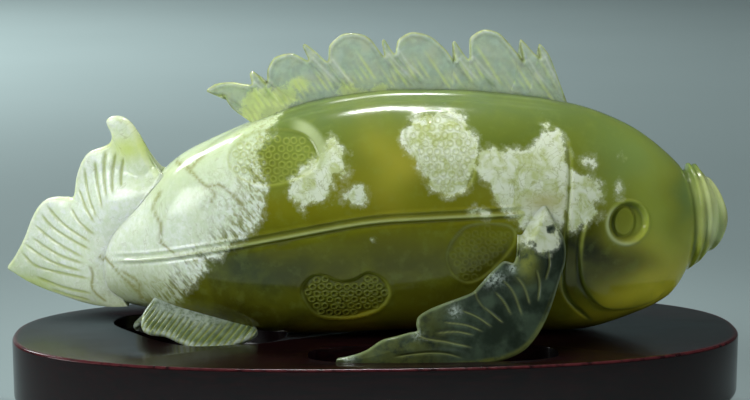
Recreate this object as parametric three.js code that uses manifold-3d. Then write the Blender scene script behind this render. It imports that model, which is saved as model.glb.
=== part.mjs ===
// Jade fish figurine on a fitted wood stand. Millimetres, +Z up, +X towards the fish's head.
import * as THREE from 'three';
import { mergeVertices } from 'three/addons/utils/BufferGeometryUtils.js';
import Module from 'manifold-3d';

// ---------- driving dimensions ----------
const gap = 0.3;                    // clearance between neighbouring pieces
const boardHalfLength = 151.5;
const boardHalfWidth = 65;
const boardAhead = 1.4;             // the board's middle sits this far ahead of the fish's
const boardSquareness = 2.42;       // 2 is an ellipse, more is squarer
const boardThickness = 28;
const boardLowerRound = 4.5;
const boardTopEdge = 1.2;
const recessDepth = 14;
const analMiddle = 3;               // the rear recess and the anal fins sit this far to the fish's left
const sideRecess = { x: 22, y: 41, halfX: 50, halfY: 14.5, squareness: 3 };
const padThickness = 1.5;
const padRadius = 10;
const footHeight = 9;
const footRadius = 13;
const footPosition = { x: 104, y: 30 };
const dowelRadius = 4;
const dowelInFoot = 5;
const dowelInBoard = 9.7;
const finTip = 2;                   // thickness at the free edge of a fin
const frameShift = 2.8;             // moves the middle of the whole object onto the frame's origin

const footBase = padThickness + gap;
const footTop = footBase + footHeight;
const boardBase = footTop + gap;
const boardTop = boardBase + boardThickness;
const stoneBase = boardTop;         // stone heights below are measured from the board's top face

// ---------- helpers ----------
const wasm = await Module();
wasm.setup();

function toSolid(geometry) {
  const bare = geometry.clone();
  bare.deleteAttribute('normal');
  bare.deleteAttribute('uv');
  const merged = mergeVertices(bare, 1e-4);
  const mesh = new wasm.Mesh({
    numProp: 3,
    vertProperties: new Float32Array(merged.attributes.position.array),
    triVerts: new Uint32Array(merged.index.array),
  });
  return new wasm.Manifold(mesh);
}

function toGeometry(solid) {
  const mesh = solid.getMesh();
  const geometry = new THREE.BufferGeometry();
  geometry.setAttribute('position', new THREE.BufferAttribute(mesh.vertProperties, 3));
  geometry.setIndex(new THREE.BufferAttribute(mesh.triVerts, 1));
  geometry.computeVertexNormals();
  return geometry;
}

// Height of a smooth curve through [x, value] knots.
function curveThrough(knots) {
  const slope = (i) => {
    const a = knots[Math.max(i - 1, 0)];
    const b = knots[Math.min(i + 1, knots.length - 1)];
    return (b[1] - a[1]) / (b[0] - a[0]);
  };
  return (x) => {
    let i = 0;
    while (i < knots.length - 2 && x > knots[i + 1][0]) i += 1;
    const [x0, v0] = knots[i];
    const [x1, v1] = knots[i + 1];
    const t = Math.min(Math.max((x - x0) / (x1 - x0), 0), 1);
    const s = x1 - x0;
    const h00 = (1 + 2 * t) * (1 - t) ** 2;
    const h10 = t * (1 - t) ** 2;
    const h01 = t * t * (3 - 2 * t);
    const h11 = t * t * (t - 1);
    return h00 * v0 + h10 * s * slope(i) + h01 * v1 + h11 * s * slope(i + 1);
  };
}

// Closed skin over rings of equal point count, each end closed on the ring's middle.
function loft(rings) {
  const count = rings[0].length;
  const points = rings.flat();
  const faces = [];
  for (let r = 0; r < rings.length - 1; r += 1) {
    for (let i = 0; i < count; i += 1) {
      const j = (i + 1) % count;
      const a = r * count + i;
      const b = r * count + j;
      faces.push(a, a + count, b, b, a + count, b + count);
    }
  }
  for (const end of [0, rings.length - 1]) {
    const middle = new THREE.Vector3();
    rings[end].forEach((p) => middle.add(p));
    points.push(middle.divideScalar(count));
    for (let i = 0; i < count; i += 1) {
      const a = end * count + i;
      const b = end * count + ((i + 1) % count);
      faces.push(points.length - 1, end === 0 ? a : b, end === 0 ? b : a);
    }
  }
  // faces point outwards whichever way the rings run
  let volume = 0;
  for (let f = 0; f < faces.length; f += 3) {
    const [a, b, c] = [points[faces[f]], points[faces[f + 1]], points[faces[f + 2]]];
    volume += a.dot(new THREE.Vector3().crossVectors(b, c));
  }
  if (volume < 0) {
    for (let f = 0; f < faces.length; f += 3) [faces[f + 1], faces[f + 2]] = [faces[f + 2], faces[f + 1]];
  }
  const geometry = new THREE.BufferGeometry().setFromPoints(points);
  geometry.setIndex(faces);
  geometry.computeVertexNormals();
  return geometry;
}

function ovalRing(x, y, halfX, halfY, squareness, z, count) {
  const ring = [];
  for (let i = 0; i < count; i += 1) {
    const t = (2 * Math.PI * i) / count;
    const c = Math.cos(t);
    const s = Math.sin(t);
    const px = x + halfX * Math.sign(c) * Math.abs(c) ** (2 / squareness);
    const py = y + halfY * Math.sign(s) * Math.abs(s) ** (2 / squareness);
    ring.push(new THREE.Vector3(px, py, z));
  }
  return ring;
}

function lathe(profile, segments, x, y, z) {
  const points = profile.map(([r, h]) => new THREE.Vector2(r, h));
  const geometry = new THREE.LatheGeometry(points, segments);
  geometry.rotateX(Math.PI / 2);
  geometry.translate(x, y, z);
  return geometry;
}

// Points spread evenly along a smooth line through [x, z] knots.
function smoothLine(knots, count, tension = 0.5) {
  const corners = knots.map(([x, z]) => new THREE.Vector3(x, 0, z));
  const curve = new THREE.CatmullRomCurve3(corners, false, 'catmullrom', tension);
  return curve.getSpacedPoints(count - 1);
}

// A fin: a sheet from its root line to its free edge, thick at the root and thin at the edge.
// place(x, z) gives the point of the fin's middle surface; the sheet thickens along across.
function finSheet({ root, edge, place, across, rootThickness, tipThickness, rows, waves }) {
  const count = root.length;
  const sheetPoint = (i, j, side) => {
    const v = j / rows;
    const x = root[i].x + (edge[i].x - root[i].x) * v;
    const z = root[i].z + (edge[i].z - root[i].z) * v;
    const ripple = 0.5 * Math.sin((2 * Math.PI * waves * i) / (count - 1)) * Math.sin(Math.PI * v);
    const thick = rootThickness + (tipThickness - rootThickness) * v + ripple;
    return place(x, z).addScaledVector(across, (side * thick) / 2);
  };
  // each station along the fin is one ring: up the near face and down the far face
  const rings = [];
  for (let i = 0; i < count; i += 1) {
    const ring = [];
    for (let j = 0; j <= rows; j += 1) ring.push(sheetPoint(i, j, -1));
    for (let j = rows; j >= 0; j -= 1) ring.push(sheetPoint(i, j, 1));
    rings.push(ring);
  }
  return loft(rings);
}

function mirrorAcrossY(geometry) {
  const mirrored = geometry.clone().scale(1, -1, 1);
  const index = mirrored.index.array;
  for (let i = 0; i < index.length; i += 3) [index[i + 1], index[i + 2]] = [index[i + 2], index[i + 1]];
  mirrored.computeVertexNormals();
  return mirrored;
}

const figurine = new THREE.Group();
figurine.name = 'jade_fish_figurine';

function addPiece(name, geometry, color, roughness, lift = 0) {
  const material = new THREE.MeshStandardMaterial({ color, roughness, metalness: 0 });
  const mesh = new THREE.Mesh(geometry, material);
  mesh.geometry.translate(frameShift, 0, lift);
  mesh.name = name;
  figurine.add(mesh);
}

// ---------- stand ----------
const boardCount = 72;

function boardRing(inset, z) {
  return ovalRing(boardAhead, 0, boardHalfLength - inset, boardHalfWidth - inset, boardSquareness, z, boardCount);
}

const boardRings = [];
for (let k = 0; k <= 4; k += 1) {
  const t = (Math.PI / 2) * (k / 4);
  const inset = boardLowerRound * (1 - Math.sin(t));
  boardRings.push(boardRing(inset, boardBase + boardLowerRound * (1 - Math.cos(t))));
}
boardRings.push(boardRing(0, boardTop - boardTopEdge));
boardRings.push(boardRing(0.35 * boardTopEdge, boardTop - 0.35 * boardTopEdge));
boardRings.push(boardRing(boardTopEdge, boardTop));
let board = toSolid(loft(boardRings));

function recess({ x, y, halfX, halfY, squareness }) {
  const floor = boardTop - recessDepth;
  const rings = [floor, boardTop + 5].map((z) => ovalRing(x, y, halfX, halfY, squareness, z, 40));
  return toSolid(loft(rings));
}
// the rear recess follows the tail as it swings to one side
const rearOutline = [
  [-110, 16], [-104, 30], [-85, 34], [-58, 31], [-39, 14], [-37, -10], [-45, -20.5], [-60, -24],
  [-75, -25], [-87, -17.5], [-100, -1.5],
].map(([x, y]) => new THREE.Vector3(x, y, 0));
const rearCurve = new THREE.CatmullRomCurve3(rearOutline, true, 'centripetal').getSpacedPoints(44).slice(0, 44);
const rearRings = [boardTop - recessDepth, boardTop + 5].map((z) => rearCurve.map((p) => p.clone().setZ(z)));
board = board.subtract(toSolid(loft(rearRings)));
for (const side of [-1, 1]) board = board.subtract(recess({ ...sideRecess, y: side * sideRecess.y }));

const footPlaces = [
  ['foot_front_right', 1, -1],
  ['foot_front_left', 1, 1],
  ['foot_rear_right', -1, -1],
  ['foot_rear_left', -1, 1],
];
const boreRadius = dowelRadius + gap;
const footProfile = [
  [0, 0],
  [footRadius - 3.5, 0],
  [footRadius - 1.2, 1.2],
  [footRadius, 4],
  [footRadius - 0.8, 6.6],
  [footRadius - 2.4, footHeight],
  [boreRadius, footHeight],
  [boreRadius, footHeight - dowelInFoot],
  [0, footHeight - dowelInFoot],
];
const boreProfile = [
  [0, -5],
  [boreRadius, -5],
  [boreRadius, dowelInBoard],
  [0, dowelInBoard],
];
const padProfile = [
  [0, 0],
  [padRadius - 0.4, 0],
  [padRadius, 0.4],
  [padRadius, padThickness],
  [0, padThickness],
];
const dowelLength = dowelInFoot + gap + dowelInBoard - 2 * gap;
const dowelProfile = [
  [0, 0],
  [dowelRadius - 0.6, 0],
  [dowelRadius, 0.6],
  [dowelRadius, dowelLength - 0.6],
  [dowelRadius - 0.6, dowelLength],
  [0, dowelLength],
];
const dowelBase = footTop - dowelInFoot + gap;
for (const [name, endSign, sideSign] of footPlaces) {
  const x = boardAhead + endSign * footPosition.x;
  const y = sideSign * footPosition.y;
  board = board.subtract(toSolid(lathe(boreProfile, 24, x, y, boardBase)));
  const dowel = toSolid(lathe(dowelProfile, 20, x, y, dowelBase));
  addPiece(name.replace('foot', 'foot_dowel'), toGeometry(dowel), 0xb08a58, 0.7);
  addPiece(name, toGeometry(toSolid(lathe(footProfile, 28, x, y, footBase))), 0x24100f, 0.3);
  addPiece(name.replace('foot', 'felt_pad'), toGeometry(toSolid(lathe(padProfile, 24, x, y, 0))), 0x1d2a20, 0.95);
}
addPiece('stand_board', toGeometry(board), 0x2a0f12, 0.18);

// ---------- stone: fish body with head and lips ----------
const backLine = curveThrough([
  [-117, 29], [-113.7, 36], [-106.7, 46.5], [-93.8, 60.3], [-82, 71.8], [-71.7, 78.2], [-51, 87.8], [-30.5, 94.6],
  [-14, 98.2], [2.5, 100.2], [23, 100.6], [43.7, 99.7], [60.3, 98], [80.3, 95.2], [93.7, 91.4], [106.3, 85.8],
  [114.8, 80.2], [122.5, 73.8], [129, 67.6],
]);
const bellyLine = curveThrough([
  [-117, 20], [-115, 13.5], [-111, 10], [-94, 8], [-80, 6.4], [-70, 4.8], [-60, 2.8], [-50, 1.1], [-40, gap],
  [-15, gap], [20, 1.4], [55, 1], [75, gap], [87, 0.9], [95.5, 2.6], [108, 6.6], [117, 10.4], [125, 15.8], [129, 20],
]);
const bodyHalfWidth = curveThrough([
  [-117, 5], [-115, 9], [-111, 12.5], [-95, 18.5], [-80, 23], [-60, 28], [-40, 31.5], [-15, 34], [15, 35],
  [45, 35], [70, 33.5], [90, 31], [105, 27.5], [118, 23], [129, 18.5],
]);
// the tail end swings to the fish's left
const spineSide = curveThrough([
  [-117, 24], [-105, 18], [-95, 13], [-80, 7], [-60, 2.5], [-40, 0.5], [-20, 0], [0, 0], [129, 0],
]);
const widestAt = 0.47;              // height of the widest line, as a share of the body's height
const ringCount = 32;

function bodyRing(x, grow) {
  const top = backLine(x) + grow;
  const bottom = bellyLine(x) - grow;
  const middle = bottom + widestAt * (top - bottom);
  const ring = [];
  for (let i = 0; i < ringCount; i += 1) {
    const t = (2 * Math.PI * i) / ringCount;
    const c = Math.cos(t);
    const s = Math.sin(t);
    const squareness = s > 0 ? 2.2 : 2.45;
    const half = s > 0 ? top - middle : middle - bottom;
    const y = (bodyHalfWidth(x) + grow) * Math.sign(c) * Math.abs(c) ** (2 / squareness);
    const z = middle + half * Math.sign(s) * Math.abs(s) ** (2 / squareness);
    ring.push(new THREE.Vector3(x, spineSide(x) + y, z));
  }
  return ring;
}

// puckered lips: ovals that bow forwards at the sides, then turn in to a dimple
const lipRings = [
  { x: 130, bow: 2.5, halfY: 17.8, middle: 45.6, halfZ: 21.8 },
  { x: 132.8, bow: 3, halfY: 18, middle: 47.6, halfZ: 21.6 },
  { x: 135.8, bow: 3.5, halfY: 16.8, middle: 48, halfZ: 19.6 },
  { x: 138.2, bow: 3, halfY: 14.6, middle: 48, halfZ: 17 },
  { x: 140.8, bow: 4.2, halfY: 13, middle: 47.8, halfZ: 14.2 },
  { x: 142.6, bow: 3.6, halfY: 9.6, middle: 47.6, halfZ: 10.4 },
  { x: 141.4, bow: 2.2, halfY: 6.2, middle: 47.4, halfZ: 6.8 },
  { x: 138, bow: 1, halfY: 3, middle: 47.2, halfZ: 3.5 },
];

function lipRing({ x, bow, halfY, middle, halfZ }, grow) {
  const ring = [];
  for (let i = 0; i < ringCount; i += 1) {
    const t = (2 * Math.PI * i) / ringCount;
    const c = Math.cos(t);
    const s = Math.sin(t);
    ring.push(new THREE.Vector3(x + bow * c * c, (halfY + grow) * c, middle + (halfZ + grow) * s));
  }
  return ring;
}

function bodyLoft(grow) {
  const rings = [];
  const stations = [-117, -116, -114.5, -112, -108];
  for (let x = -103; x < 124; x += 6.8) stations.push(x);
  stations.push(126.5);
  for (const x of stations) rings.push(bodyRing(x - (x < -110 ? grow : 0), grow));
  for (const lip of lipRings) rings.push(lipRing(lip, grow));
  return loft(rings);
}

const clearBody = toSolid(bodyLoft(gap));
let body = toSolid(bodyLoft(0));

// carved eye: a ring groove round a low dome on each side of the head
const eye = { x: 102.2, z: 49, outer: 8.4, inner: 6.8, depth: 1.6 };
for (const side of [-1, 1]) {
  const grooveProfile = [
    [eye.inner, -eye.depth],
    [eye.outer, -eye.depth],
    [eye.outer + 1, 3],
    [eye.inner, 3],
    [eye.inner, -eye.depth],
  ];
  const groove = new THREE.LatheGeometry(grooveProfile.map(([r, h]) => new THREE.Vector2(r, h)), 24);
  if (side < 0) groove.rotateX(Math.PI);
  groove.rotateZ(side * -0.22);
  groove.translate(eye.x, side * (bodyHalfWidth(eye.x) - 0.1), eye.z);
  body = body.subtract(toSolid(groove));
}

// gill cover: a long curved groove behind each cheek
const gillLine = [
  [76, 84], [77.2, 67], [77, 47], [76.5, 32], [80, 19], [88.5, 11.5],
];
for (const side of [-1, 1]) {
  const path = gillLine.map(([x, z]) => {
    const top = backLine(x);
    const bottom = bellyLine(x);
    const middle = bottom + widestAt * (top - bottom);
    const squareness = z > middle ? 2.2 : 2.45;
    const reach = Math.abs(z - middle) / (z > middle ? top - middle : middle - bottom);
    const y = bodyHalfWidth(x) * (1 - reach ** squareness) ** (1 / squareness);
    return new THREE.Vector3(x, side * (y + 0.1), z);
  });
  const outline = new THREE.Shape();
  outline.absarc(0, 0, 1, 0, 2 * Math.PI, false);
  const groove = new THREE.ExtrudeGeometry(outline, {
    steps: 16,
    curveSegments: 5,
    bevelEnabled: false,
    extrudePath: new THREE.CatmullRomCurve3(path),
  });
  body = body.subtract(toSolid(groove));
}
addPiece('fish_body', toGeometry(body), 0x6d7a26, 0.25, stoneBase);

// ---------- stone: fins ----------
function addFin(name, sheet, color) {
  const cut = toSolid(sheet).subtract(clearBody);
  const parts = cut.decompose();
  parts.sort((a, b) => b.volume() - a.volume());
  addPiece(name, toGeometry(parts[0]), color, 0.25, stoneBase);
}

// tail fin: two lobes that fan out from the body's end, the upper one hooked back at its tip
const tailRoot = smoothLine([[-84, 66], [-97, 50], [-107, 38], [-111, 26], [-110, 12]], 57);
const tailEdge = smoothLine([
  [-88, 66], [-92.3, 71.5], [-97.3, 80.9], [-101.1, 86.1], [-105, 88.3], [-109.3, 88], [-111.6, 85.5], [-109.6, 81],
  [-109.6, 78], [-112, 75.5], [-119, 72.5], [-122.8, 68], [-125.4, 61], [-126.8, 53], [-130, 52.2], [-135, 51.8],
  [-139.2, 50.4], [-143, 47], [-146.5, 41], [-150, 32.5], [-154.5, 24.3], [-158.3, 18.6], [-155.5, 16.4],
  [-147, 12.3], [-134.7, 8.9], [-123, 7.5], [-112, 8],
], 57);
addFin('tail_fin', finSheet({
  root: tailRoot,
  edge: tailEdge,
  place: (x, z) => new THREE.Vector3(x, 18 - 0.5 * (x + 105), z),
  across: new THREE.Vector3(0.447, 0.894, 0),
  rootThickness: 11,
  tipThickness: finTip + 1,
  rows: 4,
  waves: 12,
}), 0xd3e0c4);

// dorsal fin: a low rear lobe, then four tall lobes with a spine between each pair
const dorsalEdge = smoothLine([
  [-50, 87], [-60.7, 96.6], [-68.6, 101], [-61.9, 104.3], [-52, 104.6], [-50.2, 108.6], [-44, 107.8], [-42.6, 113],
  [-38, 115.6], [-33.6, 116.3], [-28.5, 114.4], [-28.4, 119.6], [-20.5, 115.6], [-18.8, 118], [-16, 122], [-11, 124.4],
  [-5, 123], [0, 119.6], [3.4, 121.4], [8.4, 119.4], [10.6, 122.7], [15, 124.7], [21, 123.4], [26, 121.3],
  [29.6, 118], [33.2, 120.2], [38.4, 116], [39.8, 121.7], [42.3, 124.2], [46.5, 125.4], [51, 124.4], [55, 121],
  [59.5, 116.5], [60.4, 121.2], [63.3, 119.4], [66.3, 115], [68, 119.4], [71.2, 117.4], [75, 109.6],
  [77.3, 101.3], [80.5, 94],
], 97, 0.25);
const dorsalRoot = [];
for (let i = 0; i < dorsalEdge.length; i += 1) {
  const x = -46 + (i / (dorsalEdge.length - 1)) * 122;
  dorsalRoot.push(new THREE.Vector3(x, 0, backLine(x) - 5));
}
addFin('dorsal_fin', finSheet({
  root: dorsalRoot,
  edge: dorsalEdge,
  place: (x, z) => new THREE.Vector3(x, 0, z),
  across: new THREE.Vector3(0, 1, 0),
  rootThickness: 6,
  tipThickness: finTip,
  rows: 2,
  waves: 20,
}), 0xa9c0a2);

// pectoral fins: big blades that sweep down and back from behind the gills into the side recesses
const pectoralLead = smoothLine([
  [66, 62], [70, 52], [73.5, 47], [75, 42], [74.6, 36], [72, 28.5], [69, 20], [66, 13.5], [62.5, 8],
  [58, 3.2], [52.5, 0.2], [45, -1.8], [32, -3], [12, -3], [-8, -2.2], [-17.3, -0.8],
], 41);
const pectoralTrail = smoothLine([
  [55.5, 60], [56, 48], [55.3, 40], [53.8, 36], [50, 36.6], [45.1, 32.6], [40, 27.5], [36.5, 24], [26.2, 19.4],
  [19, 15.6], [14.6, 11], [7, 8.9], [1, 7.2], [-5, 3.6], [-11, 1.6], [-16.6, 0.6],
], 41);
const pectoral = finSheet({
  root: pectoralTrail,
  edge: pectoralLead,
  place: (x, z) => new THREE.Vector3(x, -50 + 0.31 * z, z),
  across: new THREE.Vector3(0, -0.955, 0.296),
  rootThickness: finTip + 1.5,
  tipThickness: finTip + 2,
  rows: 4,
  waves: 6,
});
addFin('pectoral_fin_right', pectoral, 0x3f5140);
addFin('pectoral_fin_left', mirrorAcrossY(pectoral), 0x3f5140);

// anal fins: a short splayed pair under the tail end, their rims inside the rear recess;
// the left one reaches further back, towards the swung tail
const analRoot = smoothLine([[-90, 17], [-80, 15], [-70, 12.5], [-58, 9.5]], 25);
const analFins = [
  {
    name: 'anal_fin_right',
    side: -1,
    foot: 21.4,
    rim: [
      [-92, 14], [-95.8, 9], [-96, 4.6], [-92.5, 2.5], [-86, 1.7], [-80, -0.5], [-73, -2.6], [-63, -2.6],
      [-56, -1], [-51, 0.6], [-48.3, 2.6], [-50, 6],
    ],
  },
  {
    name: 'anal_fin_left',
    side: 1,
    foot: 17,
    rim: [
      [-92, 14], [-95.5, 7], [-98.5, 2], [-102.5, -3.5], [-99, -6.5], [-88, -7.5], [-74, -6.5], [-62, -4.5],
      [-53, -1.5], [-50, 2.6], [-51, 6],
    ],
  },
];
for (const { name, side, foot, rim } of analFins) {
  const sheet = finSheet({
    root: analRoot,
    edge: smoothLine(rim, 25),
    place: (x, z) => new THREE.Vector3(x, analMiddle + side * (foot - 1.1 * z), z),
    across: new THREE.Vector3(0, -side * 0.673, -0.74),
    rootThickness: 5,
    tipThickness: finTip + 0.5,
    rows: 3,
    waves: 7,
  });
  addFin(name, sheet, 0x9fb592);
}

export default figurine;
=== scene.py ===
"""Looks of a carved jade fish on a fitted, lacquered wood stand.

Shapes are worked out in millimetres until a mesh is made. The camera and the lights are placed in metres.
"""

import math

import bmesh
import bpy
import numpy as np
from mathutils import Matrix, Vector


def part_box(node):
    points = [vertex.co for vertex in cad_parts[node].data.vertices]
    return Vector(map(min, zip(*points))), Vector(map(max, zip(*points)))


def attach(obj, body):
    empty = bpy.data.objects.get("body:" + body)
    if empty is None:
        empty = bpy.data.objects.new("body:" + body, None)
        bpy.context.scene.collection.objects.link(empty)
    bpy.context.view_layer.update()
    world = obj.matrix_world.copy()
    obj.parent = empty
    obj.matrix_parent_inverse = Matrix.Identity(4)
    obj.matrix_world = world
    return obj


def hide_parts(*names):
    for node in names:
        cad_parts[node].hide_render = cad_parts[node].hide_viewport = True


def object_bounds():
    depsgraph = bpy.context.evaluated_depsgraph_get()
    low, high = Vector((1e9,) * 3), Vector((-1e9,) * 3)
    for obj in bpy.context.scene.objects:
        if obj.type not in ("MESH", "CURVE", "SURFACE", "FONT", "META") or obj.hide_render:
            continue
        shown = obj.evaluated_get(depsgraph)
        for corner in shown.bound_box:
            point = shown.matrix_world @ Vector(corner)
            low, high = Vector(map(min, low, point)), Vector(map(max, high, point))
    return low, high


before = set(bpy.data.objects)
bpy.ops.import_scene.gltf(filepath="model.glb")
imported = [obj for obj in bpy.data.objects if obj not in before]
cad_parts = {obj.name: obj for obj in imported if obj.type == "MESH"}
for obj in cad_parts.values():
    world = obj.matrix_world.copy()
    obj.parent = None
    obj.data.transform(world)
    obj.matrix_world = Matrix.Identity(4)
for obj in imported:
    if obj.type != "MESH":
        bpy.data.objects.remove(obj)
cad_low, cad_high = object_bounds()

MM = 0.001


def box_mm(node):
    """Lower and upper corner of a CAD node."""
    return [np.array(corner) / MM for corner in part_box(node)]


board_low, board_high = box_mm("stand_board")
BOARD_TOP = board_high[2]
BOARD_MIDDLE = (board_low[0] + board_high[0]) / 2
BOARD_AHEAD = 1.4                      # the board's middle sits this far ahead of the stone's
STONE_ORIGIN = np.array([BOARD_MIDDLE - BOARD_AHEAD, 0, BOARD_TOP])
random = np.random.default_rng(11)


# ---------- camera ----------
AIM_AHEAD = 0.0032
AIM_HEIGHT_SHARE = 0.572
CAMERA_DISTANCE = 0.789
CAMERA_AZIMUTH = math.radians(-2.6)
CAMERA_ELEVATION = math.radians(10)
CAMERA_LENS = 91.2
CAMERA_SENSOR = 36
CAMERA_SEES_TO = 50


def add_camera():
    middle = (cad_low + cad_high) / 2
    height = cad_high.z - cad_low.z
    aim = Vector((middle.x + AIM_AHEAD, middle.y, cad_low.z + AIM_HEIGHT_SHARE * height))
    flat = math.cos(CAMERA_ELEVATION)
    back = Vector((
        math.sin(CAMERA_AZIMUTH) * flat,
        -math.cos(CAMERA_AZIMUTH) * flat,
        math.sin(CAMERA_ELEVATION),
    ))
    camera = bpy.data.objects.new("camera", bpy.data.cameras.new("camera"))
    bpy.context.scene.collection.objects.link(camera)
    camera.location = aim + back * CAMERA_DISTANCE
    camera.rotation_mode = "QUATERNION"
    camera.rotation_quaternion = (-back).to_track_quat("-Z", "Y")
    camera.data.lens = CAMERA_LENS
    camera.data.sensor_width = CAMERA_SENSOR
    camera.data.clip_end = CAMERA_SEES_TO
    bpy.context.scene.camera = camera


add_camera()


# ---------- curves and distances ----------
def smooth(low, high, x):
    t = np.clip((x - low) / (high - low), 0, 1)
    return t * t * (3 - 2 * t)


def bell(x, width):
    return np.exp(-((x / width) ** 2))


def spot(x, z, middle_x, middle_z, reach_x, reach_z):
    """1 at a spot's middle, fading out over its reach along x and z."""
    return np.exp(-((x - middle_x) / reach_x) ** 2 - ((z - middle_z) / reach_z) ** 2)


def cubic_shares(t):
    """How much a cubic's start, start slope, end and end slope count at t from 0 to 1."""
    return (1 + 2 * t) * (1 - t) ** 2, t * (1 - t) ** 2, t * t * (3 - 2 * t), t * t * (t - 1)


def curve_through(knots):
    """A smooth function of x through (x, value) knots."""
    xs, values = np.array(knots, float).T
    slopes = np.empty(len(xs))
    slopes[1:-1] = (values[2:] - values[:-2]) / (xs[2:] - xs[:-2])
    slopes[0] = (values[1] - values[0]) / (xs[1] - xs[0])
    slopes[-1] = (values[-1] - values[-2]) / (xs[-1] - xs[-2])

    def at(x):
        i = np.clip(np.searchsorted(xs, x, side="right") - 1, 0, len(xs) - 2)
        span = xs[i + 1] - xs[i]
        t = np.clip((x - xs[i]) / span, 0, 1)
        start, leaving, end, arriving = cubic_shares(t)
        first = start * values[i] + leaving * span * slopes[i]
        second = end * values[i + 1] + arriving * span * slopes[i + 1]
        return first + second

    return at


LINE_STEPS = 40                        # steps of a smooth line between two corners


def smooth_line(corners, count, tension=0.5, closed=False):
    """Evenly spaced points along a Catmull-Rom curve through the corners."""
    p = np.array(corners, float)
    if closed:
        a, b, c, d = (np.roll(p, shift, 0) for shift in (1, 0, -1, -2))
    else:
        ends = np.vstack([2 * p[0] - p[1], p, 2 * p[-1] - p[-2]])
        a, b, c, d = ends[:-3], ends[1:-2], ends[2:-1], ends[3:]
    b, c = b[:, None], c[:, None]
    leave = tension * (c - a[:, None])
    arrive = tension * (d[:, None] - b)
    shares = cubic_shares(np.linspace(0, 1, LINE_STEPS, endpoint=False)[None, :, None])
    line = shares[0] * b + shares[1] * leave + shares[2] * c + shares[3] * arrive
    line = np.vstack([line.reshape(-1, p.shape[1]), p[:1] if closed else p[-1:]])
    walked = np.concatenate([[0], np.cumsum(np.linalg.norm(np.diff(line, axis=0), axis=1))])
    at = np.linspace(0, walked[-1], count + 1)[:-1] if closed else np.linspace(0, walked[-1], count)
    return np.stack([np.interp(at, walked, line[:, k]) for k in range(p.shape[1])], 1)


FAR = 1e3


def to_line(x, z, line, reach=14.0):
    """Distance from each point to a polyline, the share of it before the nearest point, and the side.

    Points further than reach from the line's box stay FAR.
    """
    distance = np.full(x.shape, FAR)
    share = np.zeros(x.shape)
    side = np.ones(x.shape)
    low, high = line.min(0) - reach, line.max(0) + reach
    near = np.flatnonzero((x > low[0]) & (x < high[0]) & (z > low[1]) & (z < high[1]))
    px, pz = x[near], z[near]
    best, best_share, best_side = distance[near], share[near], side[near]
    for k in range(len(line) - 1):
        (ax, az), (bx, bz) = line[k], line[k + 1]
        dx, dz = bx - ax, bz - az
        t = np.clip(((px - ax) * dx + (pz - az) * dz) / (dx * dx + dz * dz + 1e-12), 0, 1)
        gap = np.hypot(px - ax - t * dx, pz - az - t * dz)
        closer = gap < best
        best = np.where(closer, gap, best)
        best_share = np.where(closer, (k + t) / (len(line) - 1), best_share)
        best_side = np.where(closer, np.sign(dx * (pz - az) - dz * (px - ax)), best_side)
    distance[near], share[near], side[near] = best, best_share, best_side
    return distance, share, side


def inside_of(x, z, outline, reach=14.0):
    """Distance inside a closed outline in mm, negative outside."""
    ring = np.vstack([outline, outline[:1]])
    distance, _, _ = to_line(x, z, ring, reach)
    inside = np.zeros(x.shape, bool)
    for (ax, az), (bx, bz) in zip(ring[:-1], ring[1:]):
        if az == bz:
            continue
        inside ^= ((az > z) != (bz > z)) & (x < (bx - ax) * (z - az) / (bz - az) + ax)
    return np.where(inside, distance, -distance)


def soft_max(a, b, blend):
    """The greater of a and b, rounded where they are within blend of each other."""
    h = np.clip(1 - np.abs(a - b) / blend, 0, 1)
    return np.maximum(a, b) + h * h * blend / 4


# ---------- meshes ----------
def make_object(name, mesh):
    made = bpy.data.objects.new(name, mesh)
    bpy.context.scene.collection.objects.link(made)
    return made


def make_mesh(name, points, faces, attributes=None, sharp_above=None):
    """points in mm in the row frame; faces a list of index arrays, each of one polygon size."""
    mesh = bpy.data.meshes.new(name)
    loops = np.concatenate([f.ravel() for f in faces]).astype(np.int32)
    sizes = np.concatenate([np.full(len(f), f.shape[1]) for f in faces])
    starts = np.concatenate([[0], np.cumsum(sizes)[:-1]]).astype(np.int32)
    mesh.vertices.add(len(points))
    mesh.vertices.foreach_set("co", (points * MM).astype(np.float32).ravel())
    mesh.loops.add(len(loops))
    mesh.loops.foreach_set("vertex_index", loops)
    mesh.polygons.add(len(sizes))
    mesh.polygons.foreach_set("loop_start", starts)
    mesh.update(calc_edges=True)
    for key, value in (attributes or {}).items():
        value = np.asarray(value, np.float32)
        if value.ndim == 2:
            layer = mesh.attributes.new(key, "FLOAT_COLOR", "POINT")
            layer.data.foreach_set("color", np.column_stack([value, np.ones(len(value), np.float32)]).ravel())
        else:
            mesh.attributes.new(key, "FLOAT", "POINT").data.foreach_set("value", value)
    mesh.validate()
    face_outwards(mesh)
    mesh.shade_smooth()
    if sharp_above is not None:
        mesh.set_sharp_from_angle(angle=math.radians(sharp_above))
    return mesh


def read_points(mesh):
    """A mesh's vertices in metres, one row each."""
    points = np.empty(len(mesh.vertices) * 3, np.float32)
    mesh.vertices.foreach_get("co", points)
    return points.reshape(-1, 3)


def write_points(mesh, points):
    mesh.vertices.foreach_set("co", points.ravel())
    mesh.update()


def face_outwards(mesh):
    shape = bmesh.new()
    shape.from_mesh(mesh)
    if shape.calc_volume(signed=True) < 0:
        bmesh.ops.reverse_faces(shape, faces=shape.faces)
        shape.to_mesh(mesh)
    shape.free()


def ring_faces(rings, count, offset=0):
    """Quads between closed rings of count points each."""
    r, i = np.meshgrid(np.arange(rings - 1), np.arange(count), indexing="ij")
    a = offset + r * count + i
    b = offset + r * count + (i + 1) % count
    return np.stack([a, b, b + count, a + count], -1).reshape(-1, 4)


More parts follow.
